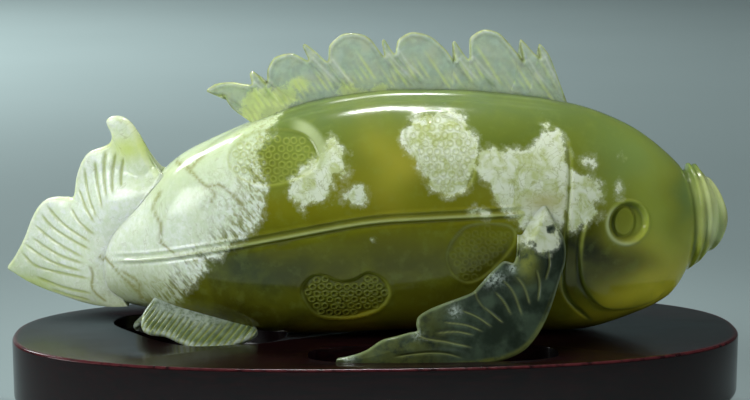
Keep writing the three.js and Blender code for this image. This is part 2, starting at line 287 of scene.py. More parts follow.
def lofted(name, rings, sharp_above=None):
    """Closed skin over a stack of closed rings, capped flat at both ends."""
    count = len(rings[0])
    points = np.vstack([np.vstack(rings), np.mean(rings[0], 0), np.mean(rings[-1], 0)])
    base, last = len(points) - 2, (len(rings) - 1) * count
    i = np.arange(count)
    j = (i + 1) % count
    caps = [
        np.stack([np.full(count, base), j, i], -1),
        np.stack([np.full(count, base + 1), last + i, last + j], -1),
    ]
    return make_mesh(name, points, [ring_faces(len(rings), count), *caps], sharp_above=sharp_above)


def cut_away(target, tools):
    """target's mesh with every tool's volume cut out of it."""
    for tool in tools:
        cutter = make_object("cutter", tool)
        boolean = target.modifiers.new("cut", "BOOLEAN")
        boolean.operation = "DIFFERENCE"
        boolean.solver = "EXACT"
        boolean.object = cutter
        evaluated = target.evaluated_get(bpy.context.evaluated_depsgraph_get())
        cut = bpy.data.meshes.new_from_object(evaluated)
        target.modifiers.remove(boolean)
        target.data = cut
        bpy.data.objects.remove(cutter)


# ---------- node materials ----------
def srgb(red, green, blue):
    """Linear colour of an sRGB triple from 0 to 255."""
    parts = [part / 255 for part in (red, green, blue)]
    return [part / 12.92 if part < 0.04045 else ((part + 0.055) / 1.055) ** 2.4 for part in parts]


class Shader:
    """A small hand for wiring one material's nodes."""

    def __init__(self, name):
        self.material = bpy.data.materials.new(name)
        self.material.use_nodes = True
        self.tree = self.material.node_tree
        self.surface = self.tree.nodes["Principled BSDF"]

    def put(self, socket, value):
        if hasattr(value, "is_linked"):
            self.tree.links.new(value, socket)
        elif isinstance(value, (list, tuple)) and len(value) == 3 and socket.type == "RGBA":
            socket.default_value = (*value, 1)
        else:
            socket.default_value = value

    def set(self, **values):
        for key, value in values.items():
            self.put(self.surface.inputs[key.replace("_", " ")], value)

    def math(self, operation, *values):
        node = self.tree.nodes.new("ShaderNodeMath")
        node.operation = operation
        for socket, value in zip(node.inputs, values):
            self.put(socket, value)
        return node.outputs[0]

    def times(self, a, b):
        return self.math("MULTIPLY", a, b)

    def plus(self, a, b):
        return self.math("ADD", a, b)

    def minus(self, a, b):
        return self.math("SUBTRACT", a, b)

    def between(self, low, high, share):
        """low where share is 0 and high where it is 1."""
        return self.math("MULTIPLY_ADD", share, high - low, low)

    def rise(self, value, low, high):
        """0 below low, 1 above high, smooth between."""
        node = self.tree.nodes.new("ShaderNodeMapRange")
        node.interpolation_type = "SMOOTHSTEP"
        for key, wanted in (("Value", value), ("From Min", low), ("From Max", high)):
            self.put(node.inputs[key], wanted)
        return node.outputs["Result"]

    def mix(self, share, a, b):
        node = self.tree.nodes.new("ShaderNodeMix")
        node.data_type = "RGBA"
        for socket, value in ((0, share), (6, a), (7, b)):
            self.put(node.inputs[socket], value)
        return node.outputs[2]

    def attribute(self, name, colour=False):
        node = self.tree.nodes.new("ShaderNodeAttribute")
        node.attribute_name = name
        return node.outputs["Color" if colour else "Fac"]

    def place(self, turn=(0, 0, 0), stretch=(1, 1, 1)):
        coordinates = self.tree.nodes.new("ShaderNodeTexCoord")
        turned = self.tree.nodes.new("ShaderNodeMapping")
        turned.inputs["Rotation"].default_value = [math.radians(angle) for angle in turn]
        stretched = self.tree.nodes.new("ShaderNodeMapping")
        stretched.inputs["Scale"].default_value = stretch
        self.tree.links.new(coordinates.outputs["Object"], turned.inputs["Vector"])
        self.tree.links.new(turned.outputs["Vector"], stretched.inputs["Vector"])
        return stretched.outputs["Vector"]

    def noise(self, size, detail=4, place=None, rough=0.55, warp=0.0):
        """Noise from 0 to 1 whose blotches are about size mm wide."""
        node = self.tree.nodes.new("ShaderNodeTexNoise")
        self.put(node.inputs["Vector"], place or self.place())
        node.inputs["Scale"].default_value = 1 / (size * MM)
        node.inputs["Detail"].default_value = detail
        node.inputs["Roughness"].default_value = rough
        node.inputs["Distortion"].default_value = warp
        return node.outputs["Fac"]

    def blotches(self, size, detail, low, high, **kind):
        """Blotches about size mm wide: 0 where the noise is below low, 1 where it is above high."""
        return self.rise(self.noise(size, detail, **kind), low, high)

    def swing(self, size, detail, **kind):
        """Noise from -0.5 to 0.5."""
        return self.minus(self.noise(size, detail, **kind), 0.5)

    def threads(self, size, detail, width, **kind):
        """Thin wandering lines that follow the middle level of a noise."""
        return self.rise(self.math("ABSOLUTE", self.swing(size, detail, **kind)), width, 0.003)

    def tints(self, colour, *steps):
        """colour, moved towards each step's sRGB by its strength where its mask is 1.

        A mask is a socket or the name of an attribute.
        """
        for mask, strength, wanted in steps:
            share = self.attribute(mask) if isinstance(mask, str) else mask
            colour = self.mix(self.times(share, strength), colour, srgb(*wanted))
        return colour

    def bump(self, height, depth_mm, strength=1.0):
        node = self.tree.nodes.new("ShaderNodeBump")
        node.inputs["Strength"].default_value = strength
        node.inputs["Distance"].default_value = depth_mm * MM
        self.put(node.inputs["Height"], height)
        self.put(self.surface.inputs["Normal"], node.outputs["Normal"])


# ---------- jade body: base surface ----------
back_line = curve_through([
    (-117, 29), (-113.7, 36), (-106.7, 46.5), (-93.8, 60.3), (-82, 71.8), (-71.7, 78.2), (-51, 87.8),
    (-30.5, 94.6), (-14, 98.2), (2.5, 100.2), (23, 100.6), (43.7, 99.7), (60.3, 98), (80.3, 95.2),
    (93.7, 91.4), (106.3, 85.8), (114.8, 80.2), (122.5, 73.8), (129, 67.6),
])
belly_line = curve_through([
    (-117, 20), (-115, 13.5), (-111, 10), (-94, 8), (-80, 6.4), (-70, 4.8), (-60, 2.8), (-50, 1.1),
    (-40, 0.3), (-15, 0.3), (20, 1.4), (55, 1), (75, 0.3), (87, 0.9), (95.5, 2.6), (108, 6.6), (117, 10.4),
    (125, 15.8), (129, 20),
])
body_half_width = curve_through([
    (-117, 5), (-115, 9), (-111, 12.5), (-95, 18.5), (-80, 23), (-60, 28), (-40, 31.5), (-15, 34), (15, 35),
    (45, 35), (70, 33.5), (90, 31), (105, 27.5), (118, 23), (129, 18.5),
])
spine_side = curve_through([
    (-117, 24), (-105, 18), (-95, 13), (-80, 7), (-60, 2.5), (-40, 0.5), (-20, 0), (0, 0), (129, 0),
])
WIDEST_AT = 0.47                       # height of the widest line, as a share of the body's height
UPPER_SQUARENESS, LOWER_SQUARENESS = 2.2, 2.45
TAIL_END, LIPS_START, TRUNK_END, MOUTH_END = -117.0, 122.0, 129.0, 158.0

# the lips, station by station: how far ahead, bow at the sides, half width, middle height, half height
lip_stations = [
    (122, 122, 1.2, 21.4, 44.4, 29.8), (126, 126.4, 2, 19.2, 44.4, 25.6),
    (129, 129.4, 2.4, 17.6, 45.4, 21.9), (132, 132.2, 2.9, 18.1, 47.2, 21.9),
    (135.5, 135.4, 3.4, 17, 48, 19.9), (139, 138.2, 3.1, 14.7, 48, 17), (142.5, 140.9, 4.1, 13, 47.8, 14.3),
    (146.5, 142.5, 3.5, 9.4, 47.6, 10.3), (150, 141.3, 2.2, 6.1, 47.4, 6.8), (154, 138.2, 1, 3, 47.2, 3.5),
    (158, 136.4, 0.2, 0.5, 47.1, 0.6),
]
lip_curves = [curve_through([(s[0], s[k]) for s in lip_stations]) for k in range(1, 6)]


def body_point(u, t):
    """The smooth body before carving. u runs from the tail end to the mouth, t round the body."""
    c, s = np.cos(t), np.sin(t)
    x = np.minimum(u, TRUNK_END)
    top, bottom = back_line(x), belly_line(x)
    middle = bottom + WIDEST_AT * (top - bottom)
    power = 2 / np.where(s > 0, UPPER_SQUARENESS, LOWER_SQUARENESS)
    half = np.where(s > 0, top - middle, middle - bottom)
    y = spine_side(x) + body_half_width(x) * np.sign(c) * np.abs(c) ** power
    z = middle + half * np.sign(s) * np.abs(s) ** power
    trunk = np.stack([x, y, z], -1)
    ahead, bow, half_y, lip_middle, half_z = (curve(u) for curve in lip_curves)
    lips = np.stack([ahead + bow * c * c, half_y * c, lip_middle + half_z * s], -1)
    share = smooth(LIPS_START, 130, u)[..., None]
    return trunk * (1 - share) + lips * share


def body_normal(u, t):
    step = 0.02
    along = body_point(u + step, t) - body_point(u - step, t)
    around = body_point(u, t + step / 20) - body_point(u, t - step / 20)
    normal = np.cross(around, along)
    return normal / (np.linalg.norm(normal, axis=-1, keepdims=True) + 1e-12)


def body_reach(x, z):
    """How far the body's skin stands out sideways from its spine, below zero where there is no body."""
    top, bottom = back_line(x), belly_line(x)
    middle = bottom + WIDEST_AT * (top - bottom)
    above = z > middle
    half = np.where(above, top - middle, middle - bottom)
    squareness = np.where(above, UPPER_SQUARENESS, LOWER_SQUARENESS)
    rise = np.abs(z - middle) / half
    inner = body_half_width(x) * np.clip(1 - rise ** squareness, 0, 1) ** (1 / squareness)
    outside = np.maximum(rise - 1, 0) * half + np.maximum(TAIL_END - x, 0)
    return inner - outside


# ---------- jade body: carving ----------
# Reliefs add up ridges and grooves: a bell's factor is its height and its second value its width, in mm.
# Terms in share fade a carved line out at its two ends.
medallion_lines = {
    "rear": smooth_line([
        (-60, 75), (-58, 80), (-52, 84.5), (-44, 87), (-34, 87.3), (-27, 85), (-23.2, 79), (-25, 73),
        (-32, 68.8), (-43, 65.8), (-52, 67), (-58, 70.5),
    ], 70, closed=True),
    "middle": smooth_line([
        (11, 86), (14, 91.5), (21, 93.6), (30, 92.6), (36.5, 88), (39.8, 79), (38, 68), (32, 63), (25, 63),
        (19.5, 69), (15, 77),
    ], 70, closed=True),
    "lower": smooth_line([
        (-30.7, 22.5), (-28, 29), (-22, 30.8), (-15, 28.2), (-9.5, 29), (-3.5, 31.8), (3, 28.5), (5.2, 22),
        (2, 16), (-5, 12.2), (-15, 10.6), (-25, 12.8),
    ], 70, closed=True),
    "front": smooth_line([
        (38, 51.4), (31, 46.5), (27.3, 39), (29, 31.5), (35, 26.6), (42, 28.4), (51, 37), (55.6, 45),
        (52, 50.8),
    ], 60, closed=True),
}
MEDALLION_DEPTH = {"rear": 0.55, "middle": 0.45, "lower": 0.65, "front": 0.4}
RING_HEIGHT = {"rear": 0.26, "middle": 0.2, "lower": 0.36, "front": 0.14}
RING_TONE = {"rear": 0.8, "middle": 0.8, "lower": 0.5, "front": 0.2}
lateral_line = smooth_line([
    (-113, 29.6), (-92, 34), (-65, 40.6), (-38, 46.8), (-6, 53), (20, 54.9), (60, 56.4),
], 60)
gill_slit = smooth_line([(77.3, 82), (77.3, 69), (76, 50), (74.8, 30), (77.6, 18.6), (88.5, 7.6)], 40)
cheek_edge = smooth_line([
    (84.5, 54), (81.6, 43), (81.6, 31), (85, 22), (93, 13.8), (106, 12.6), (116, 15.4), (121, 20),
], 50)
EYE = (101.5, 49.8)
EYE_RADIUS = 8.4
PUPIL = (100.3, 50.4)
PUPIL_HALF = (4.4, 6.3)
RING_PITCH, RING_RADIUS = 3.35, 1.15
RING_ROW_SHARE = 0.87                  # spacing of the honeycomb's rows, as a share of the pitch
RING_SCATTER = 0.22
RING_MARGIN = 1.9                      # no ring is centred nearer to the medallion's edge
WAVE_HEIGHT, WAVE_SIZE, WAVE_SEED = 0.22, 11, 3


def ring_centres(outline):
    """Drilled rings on a loose honeycomb inside a medallion."""
    low, high = outline.min(0), outline.max(0)
    rows = np.arange(low[1], high[1], RING_PITCH * RING_ROW_SHARE)
    grid = [
        (x + (k % 2) * RING_PITCH / 2, z)
        for k, z in enumerate(rows)
        for x in np.arange(low[0], high[0], RING_PITCH)
    ]
    centres = np.array(grid) + random.normal(0, RING_SCATTER, (len(grid), 2))
    return centres[inside_of(centres[:, 0], centres[:, 1], outline) > RING_MARGIN]


medallion_rings = {name: ring_centres(line) for name, line in medallion_lines.items()}


def carve_medallions(x, z):
    """Relief of the sunk medallions and their rings, and how strongly each point lies on a carved line."""
    height = np.zeros(x.shape)
    line = np.zeros(x.shape)
    for name, outline in medallion_lines.items():
        inner = inside_of(x, z, outline)
        depth = MEDALLION_DEPTH[name]
        height += -depth * smooth(-0.2, 1.3, inner) + 0.2 * depth * bell(inner + 0.7, 0.7)
        line = np.maximum(line, 0.45 * bell(inner - 0.4, 0.4))
        field = np.flatnonzero(inner > 0)
        nearest = np.full(len(field), FAR)
        for cx, cz in medallion_rings[name]:
            nearest = np.minimum(nearest, np.hypot(x[field] - cx, z[field] - cz))
        crest = bell(nearest - RING_RADIUS, 0.32)
        height[field] += RING_HEIGHT[name] * (crest - 0.12 * bell(nearest, 0.6))
        line[field] = np.maximum(line[field], crest * RING_TONE[name])
    return height, line


def carve_lateral_line(x, z):
    """A ridge above the line's groove, a higher one below it and a soft dip under that."""
    distance, share, side = to_line(x, z, lateral_line, 8)
    across = distance * side
    profile = 0.5 * bell(across - 1.5, 0.6) - 0.55 * bell(across, 0.7) + 0.95 * bell(across + 1.5, 0.6)
    profile -= 0.4 * bell(across + 3.2, 0.6)
    fade = smooth(-0.001, 0.1, share) * smooth(1.001, 0.95, share)
    # the ridge below the groove is tinted too: a painted highlight along it
    ridge = bell(across + 1.3, 0.5) * fade
    return profile * fade * (distance < 6), np.maximum(ridge, 0.35 * bell(distance, 0.9) * fade)


def carve_gill(x, z):
    """The slit behind the gill cover and the raised edge of the cheek."""
    distance, share, _ = to_line(x, z, gill_slit, 6)
    fade = smooth(0, 0.06, share) * smooth(1.001, 0.9, share)
    slit = -0.9 * bell(distance, 0.75) * fade
    edge, share, side = to_line(x, z, cheek_edge, 9)
    across = edge * side
    fade = smooth(0, 0.12, share) * smooth(1.001, 0.85, share)
    raised = 1.1 * smooth(-0.4, 0.8, across) * smooth(9, 1.5, across)
    cheek = (raised - 0.5 * bell(across + 0.7, 0.8)) * fade
    # the tinted line follows the slit, and along the raised cheek's edge it is a painted highlight
    line = np.maximum(bell(distance, 0.8), 0.9 * bell(across - 0.5, 0.6) * fade)
    return slit + cheek * (edge < 9), line


def carve_eye(x, z):
    """A round dish with a raised rim, and the oval pupil standing in it."""
    reach = np.hypot(x - EYE[0], z - EYE[1])
    dish = -1.9 * smooth(EYE_RADIUS, EYE_RADIUS - 1.5, reach) + 0.45 * bell(reach - EYE_RADIUS - 0.4, 0.6)
    oval = np.hypot((x - PUPIL[0]) / PUPIL_HALF[0], (z - PUPIL[1]) / PUPIL_HALF[1])
    pupil = (smooth(1.0, 0.84, oval) - 0.4 * bell(oval - 1.08, 0.09)) * (reach < EYE_RADIUS)
    return dish + pupil


def carve_saddle(u, side_reach):
    """The raised band that the dorsal fin grows from, with a fine groove beside it."""
    along = smooth(-46, -30, u) * smooth(82, 66, u)
    return along * (0.9 * smooth(9.2, 6.6, side_reach) - 0.35 * bell(side_reach - 11.2, 0.8))


def carve_lips(u):
    """Ring folds round the lips."""
    folds = 0.85 * bell(u - 131.3, 0.8) + 0.75 * bell(u - 134.2, 0.8) - 0.5 * bell(u - 132.7, 0.6)
    return folds + 0.55 * bell(u - 141.6, 1.0) - 0.5 * bell(u - 139.6, 0.8) - 0.8 * bell(u - 129.0, 1.0)


def slow_wave(points):
    """Low hand-worked undulation, from -1 to 1."""
    waves = np.random.default_rng(WAVE_SEED).normal(0, 1, (6, 4))
    return sum(np.sin(points @ (wave[:3] / WAVE_SIZE) + 9 * wave[3]) for wave in waves) / len(waves)


# ---------- jade: cloudy zones and tones ----------
cotton_zones = [smooth_line(corners, 60, closed=True) for corners in (
    # the whole tail end, ragged where it meets the green
    [(-125, 120), (-40, 110), (-39, 91), (-43, 85), (-47, 78), (-45, 68), (-44, 59), (-48, 50), (-55, 43.5),
     (-64, 36), (-70, 31), (-75, 22), (-82, 14), (-92, 4), (-112, -12), (-190, 0), (-190, 100)],
    # the cloud beside the rear medallion
    [(-29, 74), (-23, 79), (-19, 85), (-15, 82), (-12, 73), (-18, 68), (-20, 62), (-28, 59), (-35, 61),
     (-34, 68)],
    [(-13, 63), (-10, 67), (-6, 66), (-4, 62), (-8, 59), (-12, 60)],
    # the middle medallion and a little round it
    [(9.5, 85), (13, 90), (20, 93.6), (33, 93.4), (38, 86), (40.5, 76), (36, 66), (28, 62.4), (21, 66),
     (16, 74)],
    # the cloud ahead of it, up to the gill
    [(40, 80), (52, 80), (61, 80), (69, 86), (74, 86), (76, 78), (77, 68), (76, 56), (73, 48), (66, 50),
     (58, 50), (53.5, 54), (47, 59), (45, 66), (40, 70)],
    # behind the eye
    [(77, 70), (82, 69), (85, 70), (89, 66), (91, 61), (87, 58), (90, 54), (85, 51), (77, 48)],
)]
# small flecks of it: middle x and z, radius
cotton_flecks = [
    (69, 88, 1.4), (83, 74.5, 1.2), (87, 74.5, 0.9), (97.5, 64, 1.2), (98, 60.5, 0.6), (100, 76, 0.3),
    (38, 56, 1.2), (42.5, 55.4, 1.5), (-2, 45, 0.1), (-30, 57, 1.0),
]
vein_lines = [smooth_line(corners, 24) for corners in (
    [(-84, 73), (-78, 71), (-74, 68), (-69, 65.5), (-66, 62), (-67, 59)],
    [(-89, 59), (-90, 52), (-88, 45), (-86.5, 39), (-83, 37)],
    [(-68, 65), (-63, 64.5), (-58, 62), (-54, 58)],
    [(-75, 68.5), (-73.5, 73), (-70, 77)],
    [(-117, 25), (-116.5, 18), (-112, 10)],
    [(-112, 29), (-106, 24), (-99, 17), (-92, 12)],
    [(-104, 26), (-98.5, 20), (-96, 13)],
)]

# the bright band at the very bottom is painted glow on the shaded underside
tone_by_height = [curve_through(list(zip((0, 12, 30, 48, 58, 72, 86, 100), band))) for band in (
    (0.640, 0.225, 0.094, 0.144, 0.212, 0.172, 0.146, 0.176),
    (0.600, 0.218, 0.097, 0.148, 0.210, 0.198, 0.202, 0.248),
    (0.014, 0.008, 0.006, 0.006, 0.009, 0.017, 0.036, 0.085),
)]
# patches of another tone: middle x and z, reach along x and z, sRGB, strength
tone_patches = [
    (4, 76, 13, 14, (190, 182, 66), 0.75),
    (-34, 76, 10, 8, (146, 164, 78), 0.7),
    (-12, 66, 14, 6, (150, 148, 40), 0.5),
    (-55, 31, 20, 9, (50, 62, 36), 0.9),
    (-58, 9, 30, 12, (28, 25, 5), 0.9),
    (-28, 93, 20, 7, (104, 124, 72), 0.6),
    (60, 66, 14, 7, (170, 165, 90), 0.5),
    (102, 72, 20, 17, (130, 156, 86), 0.8),
    (114, 50, 15, 24, (166, 184, 84), 0.85),
    # painted glow on the chin
    (116, 20, 26, 18, (232, 224, 72), 0.95),
    (98, 31, 12, 8, (70, 74, 20), 0.75),
    (104, 52, 6, 9, (126, 132, 34), 0.6),
    (86, 30, 9, 16, (58, 60, 20), 0.7),
    (80, 44, 4, 15, (48, 54, 22), 0.85),
    (85, 41, 7, 10, (26, 32, 8), 0.95),
    # painted glow along the shaded belly
    (10, 1, 40, 9, (226, 198, 50), 0.85),
    # painted glow on the low cheek
    (93, 8, 14, 8, (224, 212, 60), 0.85),
    (-30, 10, 22, 8, (40, 40, 12), 0.6),
    (131, 62, 6, 15, (96, 126, 76), 0.85),
    (131, 36, 6, 15, (184, 196, 92), 0.85),
    # painted light on the right-facing lips
    (143, 50, 6, 26, (216, 232, 170), 0.95),
]


def body_tone(x, z):
    """Colour of the clear stone: bands by height, then patches with wavy borders. The bright bottom band and
    a few patches are painted light on parts that the lamps leave dark.
    """
    tone = np.stack([band(z) for band in tone_by_height], -1)
    bend_x = 4 * np.sin(z / 8 + 1) + 2 * np.sin(z / 3.1)
    bend_z = 3 * np.sin(x / 9) + 1.5 * np.sin(x / 3.7)
    x, z = x + bend_x, z + bend_z
    for px, pz, reach_x, reach_z, colour, strength in tone_patches:
        share = strength * spot(x, z, px, pz, reach_x, reach_z)[..., None]
        tone = tone * (1 - share) + np.array(srgb(*colour)) * share
    return tone


CLEAR_LIMIT, CLOUDY_LIMIT = 12, 30      # the distance fields are cut off here


def cotton_field(x, z):
    """Distance inside the white cloudy stone in mm, negative in the clear green."""
    field = np.full(x.shape, -FAR)
    for outline in cotton_zones:
        field = np.maximum(field, inside_of(x, z, outline, 16))
    for fx, fz, radius in cotton_flecks:
        field = np.maximum(field, radius - np.hypot(x - fx, z - fz))
    return np.clip(field, -CLEAR_LIMIT, CLOUDY_LIMIT)


def stone_masks(x, z):
    """Masks that the body and the tail share, so that their colours run on across the joint."""
    tail_zone = inside_of(x, z, cotton_zones[0], 30)
    feather = smooth(15, 3, tail_zone) * smooth(-4, 1, tail_zone) * smooth(-34, -46, x) * smooth(86, 70, z)
    vein = np.zeros(x.shape)
    bent_x, bent_z = x + 0.9 * np.sin(z / 2.1 + 1), z + 0.9 * np.sin(x / 1.9)
    for line in vein_lines:
        vein = np.maximum(vein, bell(to_line(bent_x, bent_z, line, 5)[0], 0.75))
    depth = back_line(np.clip(x, TAIL_END, TRUNK_END)) - z
    stain = spot(x, z, -90, 15, 22, 12) + 0.6 * spot(x, z, -60, 60, 14, 12)
    # pale stone ahead of the rear medallion, and painted highlights on the eye's rim below and behind it and
    # along the lateral line's ridge
    ahead = inside_of(x, z, medallion_lines["rear"], 6)
    pale = smooth(0.4, -0.3, ahead) * smooth(-5, -2.5, ahead) * smooth(-36, -28, x) * smooth(72, 76, z)
    from_eye = np.hypot(x - EYE[0], z - EYE[1])
    low_left = smooth(2, -7, x - EYE[0] + 0.6 * (z - EYE[1]))
    pale = np.maximum(pale, bell(from_eye - EYE_RADIUS - 0.3, 0.8) * low_left)
    distance, share, side = to_line(x, z, lateral_line, 8)
    ridge = bell(distance * side + 1.3, 0.5) * smooth(0.2, 0.4, share) * smooth(1.0, 0.9, share)
    pale = np.maximum(pale, 0.75 * ridge)
    return {
        "cotton": cotton_field(x, z),
        "feather": feather,
        "vein": vein,
        "warm": smooth(9, 2, depth) * 0.3,
        "cream": smooth(-44, -30, x),
        # shade: white near the back turned duller yellow-green, partly the stone's own tint and partly
        # painted shade
        "shade": smooth(30, 4, depth) * smooth(-100, -84, x),
        "stain": np.clip(stain, 0, 1),
        "pale": pale,
        # low: the white stone darker towards the bottom, a painted shade
        "low": smooth(34, 10, z - 4 * np.sin(x / 9)),
        "ochre": spot(x, z, 67, 59.5, 8, 3.6),
    }


# ---------- jade body: mesh ----------
# stations are close together at the tail end and round the lips
TAIL_MESH_TO, LIPS_MESH_FROM = -110, 124
TAIL_STATIONS = 8
STATION_STEP, LIPS_STEP = 1.25, 0.6
AROUND = 250
REFINE = 3


def body_relief(u, base):
    """Height of all carving on the body, and how strongly each point lies on a carved line."""
    x, z = base[:, 0], base[:, 2]
    side_reach = np.abs(base[:, 1] - spine_side(np.minimum(u, TRUNK_END)))
    flank = smooth(4, 9, side_reach)
    medallions, rings = carve_medallions(x, z)
    lateral, lateral_groove_and_highlight = carve_lateral_line(x, z)
    gill, gill_groove_and_highlight = carve_gill(x, z)
    height = (medallions + lateral + gill + carve_eye(x, z)) * flank
    height += carve_saddle(u, side_reach) * (z > 60)
    height += carve_lips(u) * smooth(157, 148, u) * (0.15 + 0.85 * smooth(26, 37, z))
    height += WAVE_HEIGHT * slow_wave(base) * smooth(TAIL_END, -100, u) * smooth(MOUTH_END, 140, u)
    line = np.maximum(np.maximum(rings, 0.5 * lateral_groove_and_highlight), gill_groove_and_highlight)
    return height, np.clip(line, 0, 1) * flank


def needs_detail(u, t):
    """True where the carving is finer than the open mesh."""
    base = body_point(u, t)
    x, z = base[:, 0], base[:, 2]
    detail = (to_line(x, z, lateral_line, 8)[0] < 4.2) | (to_line(x, z, gill_slit, 8)[0] < 2.2)
    detail |= to_line(x, z, cheek_edge, 8)[0] < 2.6
    detail |= np.hypot(x - EYE[0], z - EYE[1]) < EYE_RADIUS + 2
    for outline in medallion_lines.values():
        detail |= inside_of(x, z, outline, 6) > -2
    return detail


def carved_body():
    stations = np.concatenate([
        np.linspace(TAIL_END, TAIL_MESH_TO, TAIL_STATIONS + 1)[:-1],
        np.arange(TAIL_MESH_TO, LIPS_MESH_FROM, STATION_STEP),
        np.arange(LIPS_MESH_FROM, MOUTH_END, LIPS_STEP),
        [MOUTH_END],
    ])
    spans = len(stations) - 1
    s, i = np.meshgrid(np.arange(spans), np.arange(AROUND), indexing="ij")
    middle_u = (stations[s] + stations[s + 1]) / 2
    middle_t = 2 * np.pi * (i + 0.5) / AROUND
    fine = needs_detail(middle_u.ravel(), middle_t.ravel()).reshape(spans, AROUND)
    fine &= stations[s + 1] < LIPS_MESH_FROM

    # vertices sit on a lattice REFINE times as dense, and only those in use are kept
    across = AROUND * REFINE

    def vertex(row, column):
        return row * across + column % across

    faces = []
    fs, fi = np.nonzero(fine)
    for a in range(REFINE):
        for b in range(REFINE):
            row, column = fs * REFINE + a, fi * REFINE + b
            faces.append(np.stack([
                vertex(row, column), vertex(row, column + 1),
                vertex(row + 1, column + 1), vertex(row + 1, column),
            ], -1))
    # an open cell takes in the extra vertices of each neighbour that is fine
    before, after = np.zeros_like(fine), np.zeros_like(fine)
    before[1:], after[:-1] = fine[:-1], fine[1:]
    left, right = np.roll(fine, 1, 1), np.roll(fine, -1, 1)
    sides = ((before, 0, 1), (right, 1, 0), (after, 0, -1), (left, -1, 0))
    by_size = {}
    for cell in zip(*np.nonzero(~fine)):
        row, column = cell[0] * REFINE, cell[1] * REFINE
        ring = []
        for neighbour, along, around in sides:
            stride = 1 if neighbour[cell] else REFINE
            for _ in range(0, REFINE, stride):
                ring.append(vertex(row, column))
                row, column = row + along * stride, column + around * stride
        by_size.setdefault(len(ring), []).append(ring)
    faces += [np.array(rings) for rings in by_size.values()]
    used = np.unique(np.concatenate([f.ravel() for f in faces]))
    faces = [np.searchsorted(used, f) for f in faces]

    row, column = used // across, used % across
    u = np.interp(row / REFINE, np.arange(spans + 1), stations)
    t = 2 * np.pi * column / across
    base = body_point(u, t)
    height, line = body_relief(u, base)
    points = base + body_normal(u, t) * height[:, None]
    ends = np.array([base[row == 0].mean(0), base[row == spans * REFINE].mean(0)])
    for k, end_row in enumerate((0, spans * REFINE)):
        rim = np.flatnonzero(row == end_row)
        following = np.roll(rim, -1)
        hub = np.full(len(rim), len(points) + k)
        faces.append(np.stack([hub, following, rim] if k == 0 else [hub, rim, following], -1))
    points = np.vstack([points, ends])
    masks = stone_masks(points[:, 0], points[:, 2])
    masks["carved"] = np.concatenate([line, [0, 0]])
    masks["tone"] = body_tone(points[:, 0], points[:, 2])
    return make_object("jade_body", make_mesh("jade_body", points + STONE_ORIGIN, faces, masks))


# ---------- jade fins ----------
THINNEST = 0.12                        # half thickness of a fin at its very rim
RELIEF_FROM = 0.3                      # a fin is carved where its half thickness is above this


def fin_sheet(name, root, edge, rows, place, across, half_thickness, relief, masks, settle=None):
    """A closed sheet between two lines of (x, z) points.

    half_thickness, relief and masks are functions of (i, v, x, z, rim): i is the share along the lines,
    v the share from the root to the edge and rim the distance to the free edge.
    """
    count = len(root)
    towards_edge = 1 - (1 - np.linspace(0, 1, rows + 1)) ** 1.5
    i, v = np.meshgrid(np.linspace(0, 1, count), towards_edge, indexing="ij")
    flat = root[:, None] + (edge - root)[:, None] * v[..., None]
    x, z = (flat[..., k].ravel() for k in (0, 1))
    i, v = i.ravel(), v.ravel()
    length = np.repeat(np.linalg.norm(edge - root, axis=1), rows + 1)
    rim = np.minimum(to_line(x, z, edge, 10)[0], (1 - v) * length)
    half = half_thickness(i, v, x, z, rim)
    height = relief(i, v, x, z, rim)
    sides = []
    for side in (-1, 1):
        points = place(x, z) + np.outer(side * (half + height * (half > RELIEF_FROM)), across)
        if settle is not None:
            points = settle(points, side, i, v)
        sides.append(points)
    size = count * (rows + 1)
    index = np.arange(size).reshape(count, rows + 1)
    skin = np.stack([index[:-1, :-1], index[1:, :-1], index[1:, 1:], index[:-1, 1:]], -1).reshape(-1, 4)
    faces = [skin, skin[:, ::-1] + size]
    for near in (index[:, 0], index[::-1, -1], index[0, ::-1], index[-1, :]):
        far = near + size
        faces.append(np.stack([far[:-1], far[1:], near[1:], near[:-1]], -1))
    both = {key: np.concatenate([value, value]) for key, value in masks(i, v, x, z, rim).items()}
    return make_object(name, make_mesh(name, np.vstack(sides) + STONE_ORIGIN, faces, both))


def rounded(rim, radius, half):
    """Half thickness that rounds off towards the free rim."""
    t = np.clip(1 - rim / radius, 0, 1)
    return np.maximum(half * np.sqrt(1 - t * t), THINNEST)


def groove_field(x, z, grooves, width):
    """1 on a groove's line, falling off over width mm and towards both ends."""
    field = np.zeros(x.shape)
    for line in grooves:
        distance, share, _ = to_line(x, z, line, 5)
        fade_in, fade_out = smooth(-0.02, 0.18, share), smooth(1.02, 0.8, share)
        field = np.maximum(field, bell(distance, width) * fade_in * fade_out)
    return field


TAIL_ROWS = 84


def tail_middle(x):
    """y of the tail fin's middle plane, which swings away from the viewer's side."""
    return 18 - 0.5 * (x + 105)


def settle_tail(points, side, i, v):
    """The skin leaves the body's skin at the root and sinks to the fin's own thickness further out."""
    x, z = points[:, 0], points[:, 2]
    reach = body_reach(np.clip(x, TAIL_END, TRUNK_END), z) - 1.4 * np.maximum(TAIL_END - x, 0)
    spine = np.where(x < TAIL_END, tail_middle(x), spine_side(x))
    own = side * (points[:, 1] - spine)
    grid = (-1, TAIL_ROWS + 1)

    def at_root(values):
        return np.repeat(values.reshape(grid)[:, 0], grid[1])

    walked = np.hypot(x - at_root(x), z - at_root(z))
    share = smooth(0, 7 + 22 * smooth(0.12, 0.42, i), walked)
    out = at_root(reach) * (1 - share) + own * share
    out = np.where(v < 1, soft_max(out, reach, 1.6), own)
    moved = points.copy()
    moved[:, 1] = spine + side * (out - 0.65 * smooth(9, 0.5, walked))
    return moved


